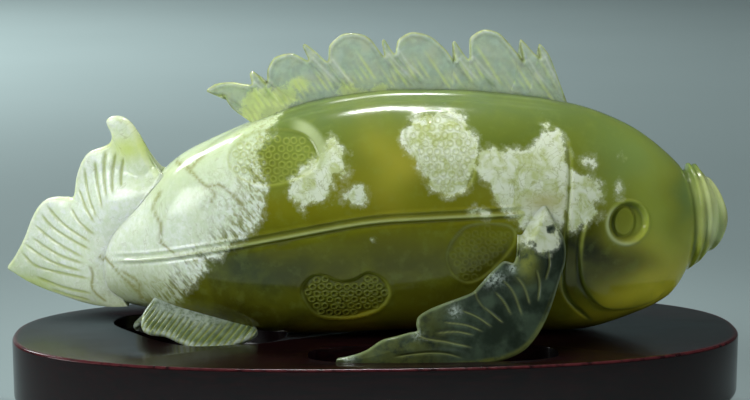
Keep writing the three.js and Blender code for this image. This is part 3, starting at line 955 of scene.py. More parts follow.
TAIL_ACROSS = np.array([0.447, 0.894, 0])
tail_root = smooth_line([(-84, 66), (-97, 50), (-107, 38), (-110.5, 26), (-108.5, 17), (-103, 12.5)], 340)
tail_edge = smooth_line([
    (-88, 66), (-92.3, 71.5), (-97.3, 80.9), (-101.1, 86.1), (-105, 88.3), (-109.3, 88), (-111.6, 85.5),
    (-109.6, 81), (-109.6, 78), (-112, 75.5), (-119, 72.5), (-122.8, 68), (-125.4, 61), (-126.8, 53),
    (-130, 52.2), (-135, 51.8), (-139.2, 50.4), (-143, 47), (-146.5, 41), (-150, 32.5), (-154.5, 24.3),
    (-158.3, 18.6), (-155.5, 16.4), (-147, 12.3), (-134.7, 8.9), (-123, 7.6), (-112, 7.8), (-103, 9),
], 340)
tail_grooves = [smooth_line(corners, 16) for corners in (
    # lower lobe, from its rim in towards the root
    [(-127, 48.5), (-122, 42.6), (-114.5, 38)],
    [(-139, 48.5), (-129.5, 40.5), (-116, 34.6)],
    [(-142, 45), (-133.5, 37.8), (-116, 31.4)],
    [(-145.3, 39.6), (-133.7, 32.6), (-119, 27.8)],
    [(-146.5, 33.8), (-133.8, 27.8), (-119, 25.3)],
    [(-150.2, 30.6), (-135.9, 23.9), (-120, 22)],
    [(-152.2, 27.4), (-141, 20.4), (-116, 19.4)],
    [(-145, 16.4), (-132.3, 13.3), (-116, 13)],
    [(-138, 11.3), (-129.9, 9.9), (-118, 9.6)],
    # upper lobe
    [(-124, 57), (-120, 49.5), (-114.8, 43)],
    [(-121, 66), (-118.5, 54), (-114, 45)],
    [(-116, 69.5), (-114, 58), (-111.6, 49)],
    [(-111.4, 74), (-111.4, 64), (-110, 54)],
    [(-106.4, 74), (-107.6, 64), (-107, 55.5)],
    [(-102.4, 72), (-103.6, 65), (-103.2, 59)],
)]


def tail_place(x, z):
    return np.stack([x, tail_middle(x), z], -1)


def tail_half(i, v, x, z, rim):
    return rounded(rim, 1.8, (11 - 8 * v) / 2)


def tail_relief(i, v, x, z, rim):
    cushion = 0.5 * smooth(0, 9, rim) * smooth(0, 0.35, v)
    return cushion - 0.5 * groove_field(x, z, tail_grooves, 0.6) * smooth(0.4, 2.5, rim)


def tail_masks(i, v, x, z, rim):
    masks = stone_masks(x, z)
    hook = spot(x, z, -101, 75, 9, 5.5)
    tip = spot(x, z, -147, 12.5, 12, 4.5)
    root_dip = spot(x, z, -97, 62, 6, 5)
    masks["feather"] *= 0.3
    # the tail keeps less of the painted low shade
    masks["low"] *= 0.6
    masks["carved"] = np.clip(1.5 * groove_field(x, z, tail_grooves, 0.62), 0, 1)
    masks["warm"] = np.clip(0.4 * smooth(2.6, 0.2, rim) + hook + tip + 0.25 * root_dip, 0, 1)
    masks["tone"] = np.tile(srgb(188, 204, 112), (len(x), 1))
    masks["cotton"] -= 20 * tip * smooth(9, 1, rim)
    return masks


def make_tail():
    return fin_sheet(
        "jade_tail_fin", tail_root, tail_edge, TAIL_ROWS, tail_place, TAIL_ACROSS,
        tail_half, tail_relief, tail_masks, settle_tail,
    )


dorsal_edge = smooth_line([
    # low rear lobe and its small spine
    (-50, 87.5), (-57.5, 93), (-60.5, 97), (-61.5, 99), (-64.5, 99), (-68.5, 101), (-64.5, 103.8),
    (-58, 104.5), (-50.5, 103.5), (-50.8, 107.5), (-49.8, 109), (-47.5, 107.5), (-44, 103.8),
    # first tall lobe and spine
    (-43.5, 109.5), (-40.5, 114.5), (-33.5, 116.2), (-27, 113.3), (-29, 118.8), (-28, 120), (-24, 117),
    (-19, 113),
    # second
    (-18, 119.5), (-12.5, 124), (-5.5, 124), (-1, 121.5), (4, 115), (3.3, 120.6), (4.5, 121.5), (8.5, 116),
    # third
    (10, 121.5), (15.5, 124.6), (23, 123), (29.5, 117.5), (33, 113), (32.2, 119.6), (33.5, 120.6),
    (39, 113.6),
    # fourth, tallest
    (39.5, 122), (45, 125.5), (51.5, 124), (58.5, 116.5), (61.5, 112.6), (60, 120), (61, 121.2), (68, 114),
    # front spine
    (67.6, 118), (68.5, 119.5), (72.5, 114.5), (77, 103), (80.5, 94),
], 900, 0.4)
DORSAL_ROOT_X = (-46, 76)
DORSAL_SUNK = 5
DORSAL_ROWS = 64
# borders where each lobe or spine laps over the one behind it, from the rim down
dorsal_laps = [smooth_line(corners, 14) for corners in (
    [(-50.5, 103.5), (-48, 101), (-43.5, 96.5)],
    [(-44, 103.5), (-42, 100.5), (-37.5, 95)],
    [(-27, 113.3), (-21, 107.3), (-12.5, 99.5)],
    [(-19, 113), (-13.8, 106), (-5.5, 98.5)],
    [(4, 115), (10, 108.3), (18, 100.5)],
    [(8.5, 116), (13.3, 109.7), (22, 101.5)],
    [(33, 113), (37.5, 107.3), (44, 100.5)],
    [(39, 113.6), (43.8, 108), (52, 100)],
    [(61.5, 112.6), (66, 105.8), (73, 97.5)],
    [(68, 114), (71.6, 107.3), (77, 97.5)],
)]
dorsal_mottles = [smooth_line(corners, 40, closed=True) for corners in (
    [(-48, 100.5), (-42.5, 102.3), (-37, 102), (-31.5, 105), (-28.5, 105), (-28, 102), (-32, 100.5),
     (-33, 97), (-37.5, 93.5), (-43, 92), (-49.5, 87), (-53, 91), (-53, 95)],
    [(-13.5, 102), (-10, 103), (-6, 101), (-1, 101.5), (3.5, 103), (5, 101.5), (1, 99.6), (-4.5, 98.5),
     (-10, 98)],
)]
RAY_SLANT = 0.66                       # how far a ray leans back per mm of height
RAY_PITCH = 2.8


def dorsal_place(x, z):
    return np.stack([x, np.zeros(x.shape), z], -1)


def dorsal_half(i, v, x, z, rim):
    return rounded(rim, 1.2, (6 - 4 * v) / 2)


def dorsal_rays(x, z, v):
    """Fine rays in the lower part of the fin, each a little different in length."""
    phase = (x + RAY_SLANT * (z - 100)) / RAY_PITCH
    number = np.floor(phase)
    length = 0.55 + 0.25 * np.sin(number * 2.4) * np.sin(number * 0.7 + 1)
    wave = 0.5 - 0.5 * np.cos(2 * np.pi * phase)
    return wave * smooth(length + 0.14, length - 0.16, v) * smooth(0.3, 0.42, v)


def laps(x, z):
    """Height of each lobe's lapping border and how close its fold is."""
    height, fold = np.zeros(x.shape), np.zeros(x.shape)
    for line in dorsal_laps:
        distance, share, side = to_line(x, z, line, 9)
        across = distance * side
        fade = smooth(1.0, 0.55, share) * smooth(-0.05, 0.08, share)
        step = 0.75 * smooth(-0.5, 0.5, across) * smooth(7.5, 1, across)
        height += fade * (step - 0.25 * bell(across + 1, 0.7))
        fold = np.maximum(fold, fade * bell(across - 2.2, 0.55))
    return height, fold


def dorsal_relief(i, v, x, z, rim):
    bead = 0.25 * bell(rim - 1.4, 0.8) * smooth(0.5, 0.7, v)
    return laps(x, z)[0] - 0.14 * dorsal_rays(x, z, v) + bead


def dorsal_masks(i, v, x, z, rim):
    mottle = np.full(x.shape, -FAR)
    for outline in dorsal_mottles:
        mottle = np.maximum(mottle, inside_of(x, z, outline, 12))
    return {
        "mottle": np.clip(mottle, -CLEAR_LIMIT, CLEAR_LIMIT),
        "carved": dorsal_rays(x, z, v),
        "fold": laps(x, z)[1],
        "rim": smooth(1.0, 0.2, rim),
        "root": smooth(9, 0, z - back_line(x)),
        "rear": smooth(-30, -52, x),
    }


def make_dorsal():
    share = np.linspace(0, 1, len(dorsal_edge))
    x = DORSAL_ROOT_X[0] + share * (DORSAL_ROOT_X[1] - DORSAL_ROOT_X[0])
    root = np.stack([x, back_line(x) - DORSAL_SUNK], -1)
    return fin_sheet(
        "jade_dorsal_fin", root, dorsal_edge, DORSAL_ROWS, dorsal_place, np.array([0, 1, 0]),
        dorsal_half, dorsal_relief, dorsal_masks,
    )


PECTORAL_ACROSS = np.array([0, -0.955, 0.296])
PECTORAL_ROWS = 60
PECTORAL_JOINED = 60                   # points of the trailing edge that lie on the body
pectoral_lead = smooth_line([
    (66, 62), (70, 52), (73.5, 47), (75, 42), (74.6, 36), (72, 28.5), (69, 20), (66, 13.5), (62.5, 8),
    (58, 3.2), (52.5, 0.2), (45, -1.8), (32, -3), (12, -3), (-8, -2.2), (-17.3, -0.8),
], 300)
pectoral_trail = smooth_line([
    (55.5, 60), (56, 48), (55.3, 40), (53.8, 36), (50, 36.6), (45.1, 32.6), (40, 27.5), (36.5, 24.6),
    (26.2, 21), (19.6, 18.4), (15.6, 15.8), (14.8, 12.8), (15, 10.6), (11.6, 9.9), (7, 8.7), (1, 7.2),
    (-5, 3.6), (-11, 1.6), (-16.6, 0.6),
], 300)
pectoral_grooves = [smooth_line(corners, 12) for corners in (
    [(25, 13.6), (34.4, 12.4), (41, 9.8)],
    [(22, 9.4), (30, 10), (37.5, 8.6)],
    [(5, 0.6), (17.4, 2), (26.1, 1.7), (33, -0.2)],
    [(32.5, 18), (38.8, 15.4), (44.5, 11.6)],
    [(41, 19.6), (44.7, 16.6), (49, 13)],
    [(46, 25), (49.5, 21), (52.3, 16)],
    [(49, 29.6), (53.3, 24.6), (56.6, 15.6)],
    [(54.4, 31), (57.7, 26.4), (59.8, 19.8)],
    [(62.7, 33.6), (63.8, 28), (63, 21)],
    [(67.6, 40.6), (68, 35), (66.2, 29)],
)]
pectoral_steps = [smooth_line(corners, 14) for corners in (
    [(14.4, 11.4), (17.4, 7.8), (26.2, 6.2), (37, 3.8)],
    [(37.6, 27.6), (39, 22.4), (42.4, 17.6)],
    [(57, 47), (55.8, 41), (54.6, 35)],
)]
pectoral_white = smooth_line([
    (50, 64), (64, 64), (70, 54), (72.4, 48), (71, 43), (65.5, 38.8), (62, 43), (58.5, 43), (54, 43),
    (50, 50),
], 50, closed=True)


def pectoral_place(x, z):
    return np.stack([x, -50 + 0.31 * z, z], -1)


def nearer_rim(x, z, rim):
    """Distance to the nearer of the fin's two free edges."""
    return np.minimum(rim, to_line(x, z, pectoral_trail[PECTORAL_JOINED:], 10)[0])


def pectoral_half(i, v, x, z, rim):
    return rounded(nearer_rim(x, z, rim), 1.9, (3.5 + 0.5 * v) / 2)


def pectoral_relief(i, v, x, z, rim):
    cushion = 0.9 * smooth(0, 7, nearer_rim(x, z, rim))
    step = np.zeros(x.shape)
    for line in pectoral_steps:
        distance, share, side = to_line(x, z, line, 6)
        raised = 1.2 * smooth(0.3, -0.5, distance * side) * bell(distance, 4)
        step += smooth(1.01, 0.7, share) * (raised - 0.8 * bell(distance, 0.6))
    return cushion - 0.8 * groove_field(x, z, pectoral_grooves, 0.52) + step


def pectoral_masks(i, v, x, z, rim):
    # frost: frosted stone, partly a painted soft highlight
    frost = 0.8 * spot(x, z, 45, 30, 4.5, 2.6)
    for fx, fz, reach in ((53.2, 33.6, 1.6), (30, 17.5, 2.2), (15, 9, 1.8), (-13, 0.4, 3)):
        frost = np.maximum(frost, 0.8 * spot(x, z, fx, fz, reach, reach))
    green = np.maximum(0.65 * spot(x, z, 59, 37, 4, 7), 0.22 * smooth(36, 12, x))
    green = np.maximum(green, 0.8 * smooth(2.6, 0.2, rim) * smooth(30, 8, z) * smooth(20, 40, x))
    white = np.clip(inside_of(x, z, pectoral_white, 12), -CLEAR_LIMIT, CLEAR_LIMIT)
    grooves = groove_field(x, z, pectoral_grooves, 0.28)
    return {
        "cotton": white - 6.6 * spot(x, z, 68, 48.4, 2.1, 2.1),
        "frost": frost,
        "green": np.clip(green, 0, 1),
        # the pale lines along the steps are painted highlights
        "carved": np.maximum(grooves, 0.6 * groove_field(x, z, pectoral_steps, 0.35)),
        "rim": smooth(1.4, 0.2, nearer_rim(x, z, rim)),
    }


def settle_pectoral(points, side, i, v):
    """Only the outer skin flows out of the body, and only near the root."""
    if side < 0:
        return points
    x, z = points[:, 0], points[:, 2]
    reach = body_reach(x, z)
    out = -points[:, 1]
    ahead = x - 58 - 0.54 * (z - 44)
    risen = np.maximum(smooth(-3, 4, ahead), smooth(48, 41, z)) * smooth(0.0, 0.08, i)
    met = (soft_max(out, reach, 5) - 0.1) * risen + (reach - 0.5) * (1 - risen)
    near_root = smooth(30, 42, z)
    moved = points.copy()
    moved[:, 1] = -(out + (met - out) * near_root)
    return moved


def make_pectoral(name, side):
    pectoral = fin_sheet(
        name, pectoral_trail, pectoral_lead, PECTORAL_ROWS, pectoral_place, PECTORAL_ACROSS,
        pectoral_half, pectoral_relief, pectoral_masks, settle_pectoral,
    )
    if side > 0:
        mesh = pectoral.data
        mirrored = read_points(mesh) * np.array([1, -1, 1], np.float32)
        mesh.flip_normals()
        write_points(mesh, mirrored)
    return pectoral


ANAL_MIDDLE = 3
anal_root = smooth_line([(-90, 17), (-80, 15), (-70, 12.5), (-58, 9.5)], 220)
anal_fins = {
    "right": (-1, 21.4, [
        (-92, 14), (-95.8, 9), (-96, 4.6), (-92.5, 2.5), (-86, 1.7), (-80, -0.5), (-73, -2.6), (-63, -2.6),
        (-56, -1), (-51, 0.6), (-48.3, 2.6), (-50, 6),
    ]),
    "left": (1, 17, [
        (-92, 14), (-95.5, 7), (-98.5, 2), (-102.5, -3.5), (-99, -6.5), (-88, -7.5), (-74, -6.5), (-62, -4.5),
        (-53, -1.5), (-50, 2.6), (-51, 6),
    ]),
}
ANAL_PITCH = 2.7
ANAL_ROWS = 44


def make_anal(name, side, foot, rim_corners):
    """side is -1 for the right fin. Its plane meets the board's top foot mm out from the middle."""

    def place(x, z):
        return np.stack([x, ANAL_MIDDLE + side * (foot - 1.1 * z), z], -1)

    def half(i, v, x, z, rim):
        return rounded(rim, 1.4, (5 - 2.5 * v) / 2)

    def stripes(x, z, v):
        phase = (x - z + 0.8 * np.sin(x / 7)) / ANAL_PITCH
        wave = 0.5 - 0.5 * np.cos(2 * np.pi * phase)
        return wave ** 5 * smooth(0.4, 0.6, v)

    def rear_frost(x, v):
        return 0.8 * smooth(0.85, 0.4, v) * smooth(-50, -74, x)

    def relief(i, v, x, z, rim):
        return -0.55 * stripes(x, z, v) * smooth(0.2, 1.4, rim) + 0.3

    def masks(i, v, x, z, rim):
        return {
            "carved": stripes(x, z, v),
            "frost": np.clip(rear_frost(x, v) + 0.9 * smooth(2.4, 0.3, rim), 0, 1),
        }

    across = np.array([0, -side * 0.673, -0.74])
    rim_line = smooth_line(rim_corners, 220)
    return fin_sheet(name, anal_root, rim_line, ANAL_ROWS, place, across, half, relief, masks)


# ---------- jade materials ----------
JADE_IOR = 1.5
JADE_GLOW = (0.95, 1.0, 0.6)           # spread of red, green and blue light in the stone, as shares
SLANT = (0, -50, 0)                    # the fibres of the tail end lie at this angle


def polish(shader, low, high, size=7.0):
    """Hand-polished stone: the gloss changes a little from place to place."""
    smear = shader.noise(size, 3)
    fine = shader.noise(0.5, 2)
    shader.set(Roughness=shader.between(low, high, smear), IOR=JADE_IOR, Subsurface_Radius=JADE_GLOW)
    shader.bump(shader.plus(smear, shader.times(fine, 0.015)), 0.04, 0.5)


def cloudy_cream(shader):
    """Cottony cream of the clouds along the flank: bright puffs with yellow-green between them."""
    puffs = shader.blotches(5.5, 5, 0.34, 0.6, warp=0.5)
    cream = shader.mix(puffs, srgb(200, 211, 150), srgb(234, 242, 218))
    branches = shader.threads(7.5, 6, 0.018, rough=0.6, warp=0.9)
    return shader.tints(cream, (branches, 0.45, (158, 166, 88)))


def ragged_edge(shader, field):
    """How cloudy the stone is, from a distance field in mm: a soft halo round a ragged core."""
    coarse = shader.times(shader.swing(5.5, 8, rough=0.66), 12.0)
    fine = shader.times(shader.swing(1.6, 5, rough=0.7), 3.4)
    field = shader.plus(field, shader.plus(coarse, fine))
    halo = shader.times(shader.rise(field, -2.6, 0.3), 0.28)
    core = shader.times(shader.rise(field, -0.4, 0.9), 0.72)
    return shader.plus(halo, core), field


def clouded_stone():
    """Clear green to olive stone with white cloudy zones, shared by the body and the tail."""
    shader = Shader("jade_clouded")
    tone = shader.attribute("tone", colour=True)
    drift = shader.blotches(16, 4, 0.35, 0.7, warp=0.4)
    clear = shader.mix(drift, tone, shader.mix(0.22, tone, srgb(144, 154, 40)))
    clear = shader.tints(clear, (shader.blotches(5, 5, 0.5, 0.7), 0.13, (150, 168, 84)))

    # white stone, streaked by the clear stone where it meets the green flank
    cloudiness, field = ragged_edge(shader, shader.attribute("cotton"))
    streak_place = shader.place(turn=SLANT, stretch=(0.16, 0.5, 1))
    streaks = shader.blotches(1.7, 5, 0.5, 0.62, place=streak_place, rough=0.65)
    cut = shader.times(streaks, shader.attribute("feather"))
    milky = shader.times(cloudiness, shader.minus(1.0, shader.times(cut, 0.75)))
    mottle = shader.noise(2.2, 6, rough=0.7)
    white = shader.mix(shader.rise(mottle, 0.3, 0.7), srgb(218, 231, 204), srgb(240, 247, 238))

    # slanted fibres of the clear stone reach into the white near the tail
    cream = shader.attribute("cream")
    fibre_place = shader.place(turn=SLANT, stretch=(0.45, 0.7, 1))
    fibres = shader.blotches(1.5, 7, 0.46, 0.62, place=fibre_place, rough=0.68, warp=0.6)
    slanted = shader.times(fibres, shader.minus(1.0, cream))
    shore = shader.plus(shader.rise(field, 15.0, 0.5), shader.attribute("stain"))
    white = shader.tints(
        white,
        (shader.blotches(13, 3, 0.45, 0.7), 0.3, (206, 220, 172)),
        ("warm", 0.85, (210, 225, 126)),
        # near the back: partly the stone's yellow-green, partly painted shade
        ("shade", 0.7, (190, 206, 160)),
        (shader.times(slanted, shore), 0.6, (144, 146, 66)),
        # painted shade on the lower white
        ("low", 0.75, (148, 162, 112)),
    )
    white = shader.mix(cream, white, cloudy_cream(shader))

    # long wandering hairlines, and the drawn veins broken up a little
    threads = shader.threads(19, 4, 0.016, rough=0.6, warp=0.5)
    hair = shader.times(threads, shader.rise(mottle, 0.42, 0.6))
    vein = shader.times(shader.attribute("vein"), shader.blotches(1.4, 4, 0.26, 0.5))
    white = shader.tints(
        white,
        ("ochre", 0.75, (184, 180, 98)),
        (hair, 0.3, (150, 156, 84)),
        (vein, 0.75, (136, 136, 58)),
    )
    colour = shader.tints(
        shader.mix(milky, clear, white),
        # pale also carries the painted highlights on the eye's rim and the lateral line's ridge
        ("pale", 0.6, (200, 214, 164)),
        # the carved tint is also a painted highlight on the lateral ridge and the cheek's raised edge
        ("carved", 0.65, (160, 170, 78)),
    )
    shader.set(Base_Color=colour, Subsurface_Weight=0.5, Subsurface_Scale=0.007)
    polish(shader, 0.09, 0.2)
    return shader.material


def dorsal_stone():
    """Nearly clear pale stone with yellow-green mottles low down and a bright rim."""
    shader = Shader("jade_clear_fin")
    base = shader.mix(shader.blotches(6, 4, 0.35, 0.7), srgb(231, 249, 230), srgb(242, 253, 224))
    ragged = shader.plus(shader.attribute("mottle"), shader.times(shader.swing(5, 7, rough=0.72), 15))
    cloud = shader.rise(ragged, -2.2, 0.8)
    carved, fold, root = (shader.attribute(name) for name in ("carved", "fold", "root"))
    haze = shader.times(shader.blotches(8, 4, 0.4, 0.7), root)
    colour = shader.tints(
        base,
        ("rear", 0.3, (220, 232, 180)),
        (haze, 0.4, (206, 216, 140)),
        (root, 0.15, (214, 224, 176)),
        (carved, 0.55, (232, 242, 156)),
        (fold, 0.6, (242, 250, 240)),
        (cloud, 0.7, (224, 238, 150)),
        ("rim", 0.7, (226, 238, 140)),
    )
    solid = shader.plus(shader.times(cloud, 0.45), shader.times(carved, 0.36))
    solid = shader.plus(solid, shader.times(fold, 0.25))
    veil = shader.times(shader.blotches(4, 4, 0.35, 0.65), 0.16)
    clear = shader.minus(0.67, shader.plus(solid, veil))
    clear = shader.plus(clear, shader.times(root, 0.1))
    shader.set(Base_Color=colour, Transmission_Weight=clear, Subsurface_Weight=0.6, Subsurface_Scale=0.004)
    polish(shader, 0.06, 0.16, 4)
    return shader.material


def smoky_stone():
    """Dark smoky green of the pectoral fins, with a white root, frosty patches that partly paint soft
    highlights, and pale carved lines that are painted highlights along the steps.
    """
    shader = Shader("jade_smoky_fin")
    base = shader.mix(shader.blotches(9, 4, 0.35, 0.7), srgb(34, 43, 33), srgb(66, 80, 64))
    patchy = shader.times(shader.attribute("green"), shader.blotches(5, 5, 0.3, 0.6, rough=0.65))
    colour = shader.tints(base, (patchy, 0.9, (146, 152, 62)))
    cloudiness, _ = ragged_edge(shader, shader.attribute("cotton"))
    colour = shader.mix(shader.times(cloudiness, 0.7), colour, cloudy_cream(shader))
    # frost here is partly a painted soft highlight
    frosty = shader.times(shader.attribute("frost"), shader.blotches(1.3, 5, 0.38, 0.62, rough=0.7))
    colour = shader.mix(frosty, colour, srgb(178, 192, 182))
    colour = shader.tints(colour, ("carved", 0.75, (148, 156, 96)), ("rim", 0.4, (150, 165, 120)))
    shader.set(Base_Color=colour, Subsurface_Weight=0.3, Subsurface_Scale=0.003)
    polish(shader, 0.1, 0.22, 5)
    return shader.material


def striped_stone():
    """Pale anal fins with greenish grooves."""
    shader = Shader("jade_striped_fin")
    base = shader.mix(shader.blotches(5, 4, 0.35, 0.7), srgb(84, 100, 66), srgb(120, 136, 102))
    frosty = shader.times(shader.attribute("frost"), shader.blotches(2, 6, 0.3, 0.6, rough=0.7))
    colour = shader.tints(base, (frosty, 0.75, (200, 212, 200)), ("carved", 0.8, (150, 158, 60)))
    shader.set(Base_Color=colour, Subsurface_Weight=0.35, Subsurface_Scale=0.003)
    polish(shader, 0.1, 0.2, 4)
    return shader.material


# ---------- stand ----------
BOARD_SQUARENESS = 2.42
BOARD_LOWER_ROUND = 4.5
BOARD_TOP_ROUND = 1.2
BOARD_SEGMENTS = 420
BOARD_CREASE, TURNED_CREASE = 32, 40   # edges that turn by more degrees are sharp
ROUND_STEPS = 8                        # steps of a rounded edge
RECESS_DEPTH = 14
RECESS_LIP = 0.7
RECESS_SEGMENTS = 160
SIDE_RECESS_MIDDLE = (22, 41)
SIDE_RECESS_HALF = (50, 14.5)
SIDE_RECESS_SQUARENESS = 3
rear_recess = smooth_line([
    (-110, 16), (-104, 30), (-85, 34), (-58, 31), (-39, 14), (-37, -10), (-45, -20.5), (-60, -24), (-75, -25),
    (-87, -17.5), (-100, -1.5),
], RECESS_SEGMENTS, closed=True)
DOWEL_ROOM, PAD_ROOM = 0.3, 0.15
DOWEL_SEGMENTS, FOOT_SEGMENTS, PAD_SEGMENTS = 48, 96, 90
FOOT_BORE_RADIUS, FOOT_BORE_DEPTH = 4.3, 5
NEAR_AXIS = 0.4                        # radius of a turned shape's first and last ring


def oval(x, y, half_x, half_y, squareness, z, count):
    """A closed ring at height z: an ellipse where squareness is 2, fuller at its corners above that."""
    t = 2 * np.pi * np.arange(count) / count
    c, s = np.cos(t), np.sin(t)
    px = x + half_x * np.sign(c) * np.abs(c) ** (2 / squareness)
    py = y + half_y * np.sign(s) * np.abs(s) ** (2 / squareness)
    return np.stack([px, py, np.full(count, float(z))], -1)


def grown(outline, by):
    """A closed outline pushed outwards by so many mm."""
    following, before = np.roll(outline, -1, 0), np.roll(outline, 1, 0)
    along = following - before
    normal = np.stack([along[:, 1], -along[:, 0]], -1)
    normal /= np.linalg.norm(normal, axis=1, keepdims=True)
    area = np.sum(outline[:, 0] * following[:, 1] - following[:, 0] * outline[:, 1])
    return outline + by * normal * np.sign(area)


def recess_tool(outline):
    """A recess with a softened floor and lip, reaching a little above the board."""
    floor = BOARD_TOP - RECESS_DEPTH
    profile = [
        (-2, floor), (-0.6, floor + 0.6), (0, floor + 2), (0, BOARD_TOP - RECESS_LIP),
        (0.25 * RECESS_LIP, BOARD_TOP - 0.35 * RECESS_LIP), (RECESS_LIP, BOARD_TOP),
        (RECESS_LIP, BOARD_TOP + 5),
    ]
    rings = [np.column_stack([grown(outline, by), np.full(len(outline), z)]) for by, z in profile]
    return lofted("recess", rings)


def round_node(node):
    """Middle, radius, lowest and highest point of a CAD node that is round about a vertical axis."""
    low, high = box_mm(node)
    x, y = (low[:2] + high[:2]) / 2
    return x, y, (high[0] - low[0]) / 2, low[2], high[2]


def board_tools():
    """The rear recess, the two side recesses and the bores of the dowels."""
    tools = [recess_tool(rear_recess + STONE_ORIGIN[[0, 1]])]
    x, y = SIDE_RECESS_MIDDLE
    for side in (-1, 1):
        ring = oval(
            x + STONE_ORIGIN[0], side * y, *SIDE_RECESS_HALF, SIDE_RECESS_SQUARENESS, 0, RECESS_SEGMENTS,
        )
        tools.append(recess_tool(ring[:, :2]))
    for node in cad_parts:
        if node.startswith("foot_dowel"):
            x, y, radius, low, high = round_node(node)
            radius += DOWEL_ROOM
            ends = (low - 9, high + DOWEL_ROOM)
            tools.append(lofted("bore", [oval(x, y, radius, radius, 2, z, DOWEL_SEGMENTS) for z in ends]))
    return tools


def make_board():
    half_length = (board_high[0] - board_low[0]) / 2
    half_width = (board_high[1] - board_low[1]) / 2
    turns = [math.radians(90 * k / ROUND_STEPS) for k in range(ROUND_STEPS + 1)]
    lower, upper = BOARD_LOWER_ROUND, BOARD_TOP_ROUND
    profile = [(lower * (1 - math.sin(a)), board_low[2] + lower * (1 - math.cos(a))) for a in turns]
    profile += [(upper * (1 - math.cos(a)), BOARD_TOP - upper * (1 - math.sin(a))) for a in turns]
    profile.append((upper + 1.2, BOARD_TOP))
    rings = [
        oval(BOARD_MIDDLE, 0, half_length - inset, half_width - inset, BOARD_SQUARENESS, z, BOARD_SEGMENTS)
        for inset, z in profile
    ]
    board = make_object("lacquered_board", lofted("lacquered_board", rings))
    cut_away(board, board_tools())
    board.data.shade_smooth()
    board.data.set_sharp_from_angle(angle=math.radians(BOARD_CREASE))
    x, y, z = (read_points(board.data) / MM).T
    edge_x = (np.abs(x - BOARD_MIDDLE) / half_length) ** BOARD_SQUARENESS
    edge = edge_x + (np.abs(y) / half_width) ** BOARD_SQUARENESS
    arris = smooth(0.963, 0.975, edge) * smooth(BOARD_TOP - 1.1, BOARD_TOP - 0.7, z)
    board.data.attributes.new("arris", "FLOAT", "POINT").data.foreach_set("value", arris.astype(np.float32))
    return board


def turned(name, profile, segments, x, y, z, wobble=0.0):
    """A solid turned about a vertical axis. A wobble roughens all of it but its flat underside."""
    rings = [oval(x, y, radius, radius, 2, z + height, segments) for radius, height in profile]
    mesh = lofted(name, rings, sharp_above=TURNED_CREASE)
    if wobble:
        points = read_points(mesh)
        above = points[:, 2:] > z * MM + 1e-5
        points[:, :2] += random.normal(0, wobble * MM, (len(points), 2)) * above
        write_points(mesh, points)
    return make_object(name, mesh)


def make_foot(node):
    """A low bun foot with a fine bead, holding its dowel's bore."""
    x, y, radius, low, high = round_node(node)
    height = high - low
    bore, floor = FOOT_BORE_RADIUS, height - FOOT_BORE_DEPTH
    swell = smooth_line([
        (radius - 3.5, 0), (radius - 1.6, 0.7), (radius - 0.3, 2.4), (radius, 4), (radius - 0.5, 5.8),
        (radius - 1.6, 7.2), (radius - 2.2, 7.8),
    ], 18)
    profile = [
        (NEAR_AXIS, 0), (radius - 5, 0), *swell,
        (radius - 2.5, 8.1), (radius - 2.1, 8.4), (radius - 2.2, height - 0.2), (radius - 2.5, height),
        (bore + 0.3, height), (bore, height - 0.3), (bore, floor), (NEAR_AXIS, floor),
    ]
    return turned("turned_" + node, profile, FOOT_SEGMENTS, x, y, low)


def make_pad(node):
    """A felt disc, a little narrower than the CAD's pad so that its rough side has room."""
    x, y, radius, low, high = round_node(node)
    radius -= PAD_ROOM
    height = high - low
    profile = [
        (NEAR_AXIS, 0), (radius * 0.5, 0), (radius - 0.5, 0), (radius - 0.1, 0.25), (radius, 0.7),
        (radius, height - 0.3), (radius - 0.25, height), (radius * 0.5, height), (NEAR_AXIS, height),
    ]
    name = node.replace("felt_pad", "felt_disc")
    return turned(name, profile, PAD_SEGMENTS, x, y, low, wobble=0.05)


def lacquered_wood():
    """Dark red-brown lacquer over fine straight grain, worn redder along the top arris."""
    shader = Shader("dark_lacquered_wood")
    along = shader.place(stretch=(0.05, 1, 1))
    grain = shader.blotches(1.1, 6, 0.35, 0.7, place=along, rough=0.6)
    worn = shader.times(shader.attribute("arris"), shader.blotches(3, 4, 0.25, 0.6))
    colour = shader.tints(
        shader.mix(grain, srgb(14, 6, 8), srgb(33, 10, 13)),
        (shader.blotches(14, 3, 0.4, 0.7, place=along), 0.5, (22, 8, 13)),
        (worn, 0.55, (98, 40, 44)),
        (shader.blotches(0.35, 2, 0.8, 0.84), 0.6, (150, 150, 155)),
    )
    smear = shader.noise(9, 4, place=shader.place(stretch=(0.4, 1, 1)))
    shader.set(Base_Color=colour, Roughness=shader.between(0.14, 0.3, smear))
    shader.set(Coat_Weight=0.1, Coat_Roughness=0.1, IOR=1.42)
    pores = shader.noise(0.5, 3, place=along)
    shader.bump(shader.plus(shader.times(pores, 0.35), smear), 0.05, 0.5)
    return shader.material


def plain_wood():
    """Pale straight-grained wood of the dowels."""
    shader = Shader("dowel_wood")
    grain = shader.noise(0.7, 5, place=shader.place(stretch=(1, 1, 0.08)))
    colour = shader.mix(shader.rise(grain, 0.35, 0.7), srgb(150, 112, 70), srgb(196, 160, 112))
    shader.set(Base_Color=colour, Roughness=0.65)
    shader.bump(grain, 0.08)
    return shader.material


def felt():
    """Dark green felt of short fibres in soft tufts."""
    shader = Shader("dark_green_felt")
    fibres = shader.noise(0.5, 6, rough=0.8)
    colour = shader.tints(
        shader.mix(shader.rise(fibres, 0.3, 0.7), srgb(20, 34, 26), srgb(46, 66, 52)),
        (shader.blotches(2.5, 4, 0.4, 0.7), 0.4, (34, 48, 40)),
    )
    shader.set(Base_Color=colour, Roughness=0.95, Sheen_Weight=0.4, Sheen_Roughness=0.5)
    shader.bump(fibres, 0.2)
    return shader.material


# ---------- the pieces ----------
def finish_piece(piece, body, slot, material, *nodes):
    piece.data.materials.clear()
    piece.data.materials.append(material)
    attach(piece, body)
    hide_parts(*nodes)


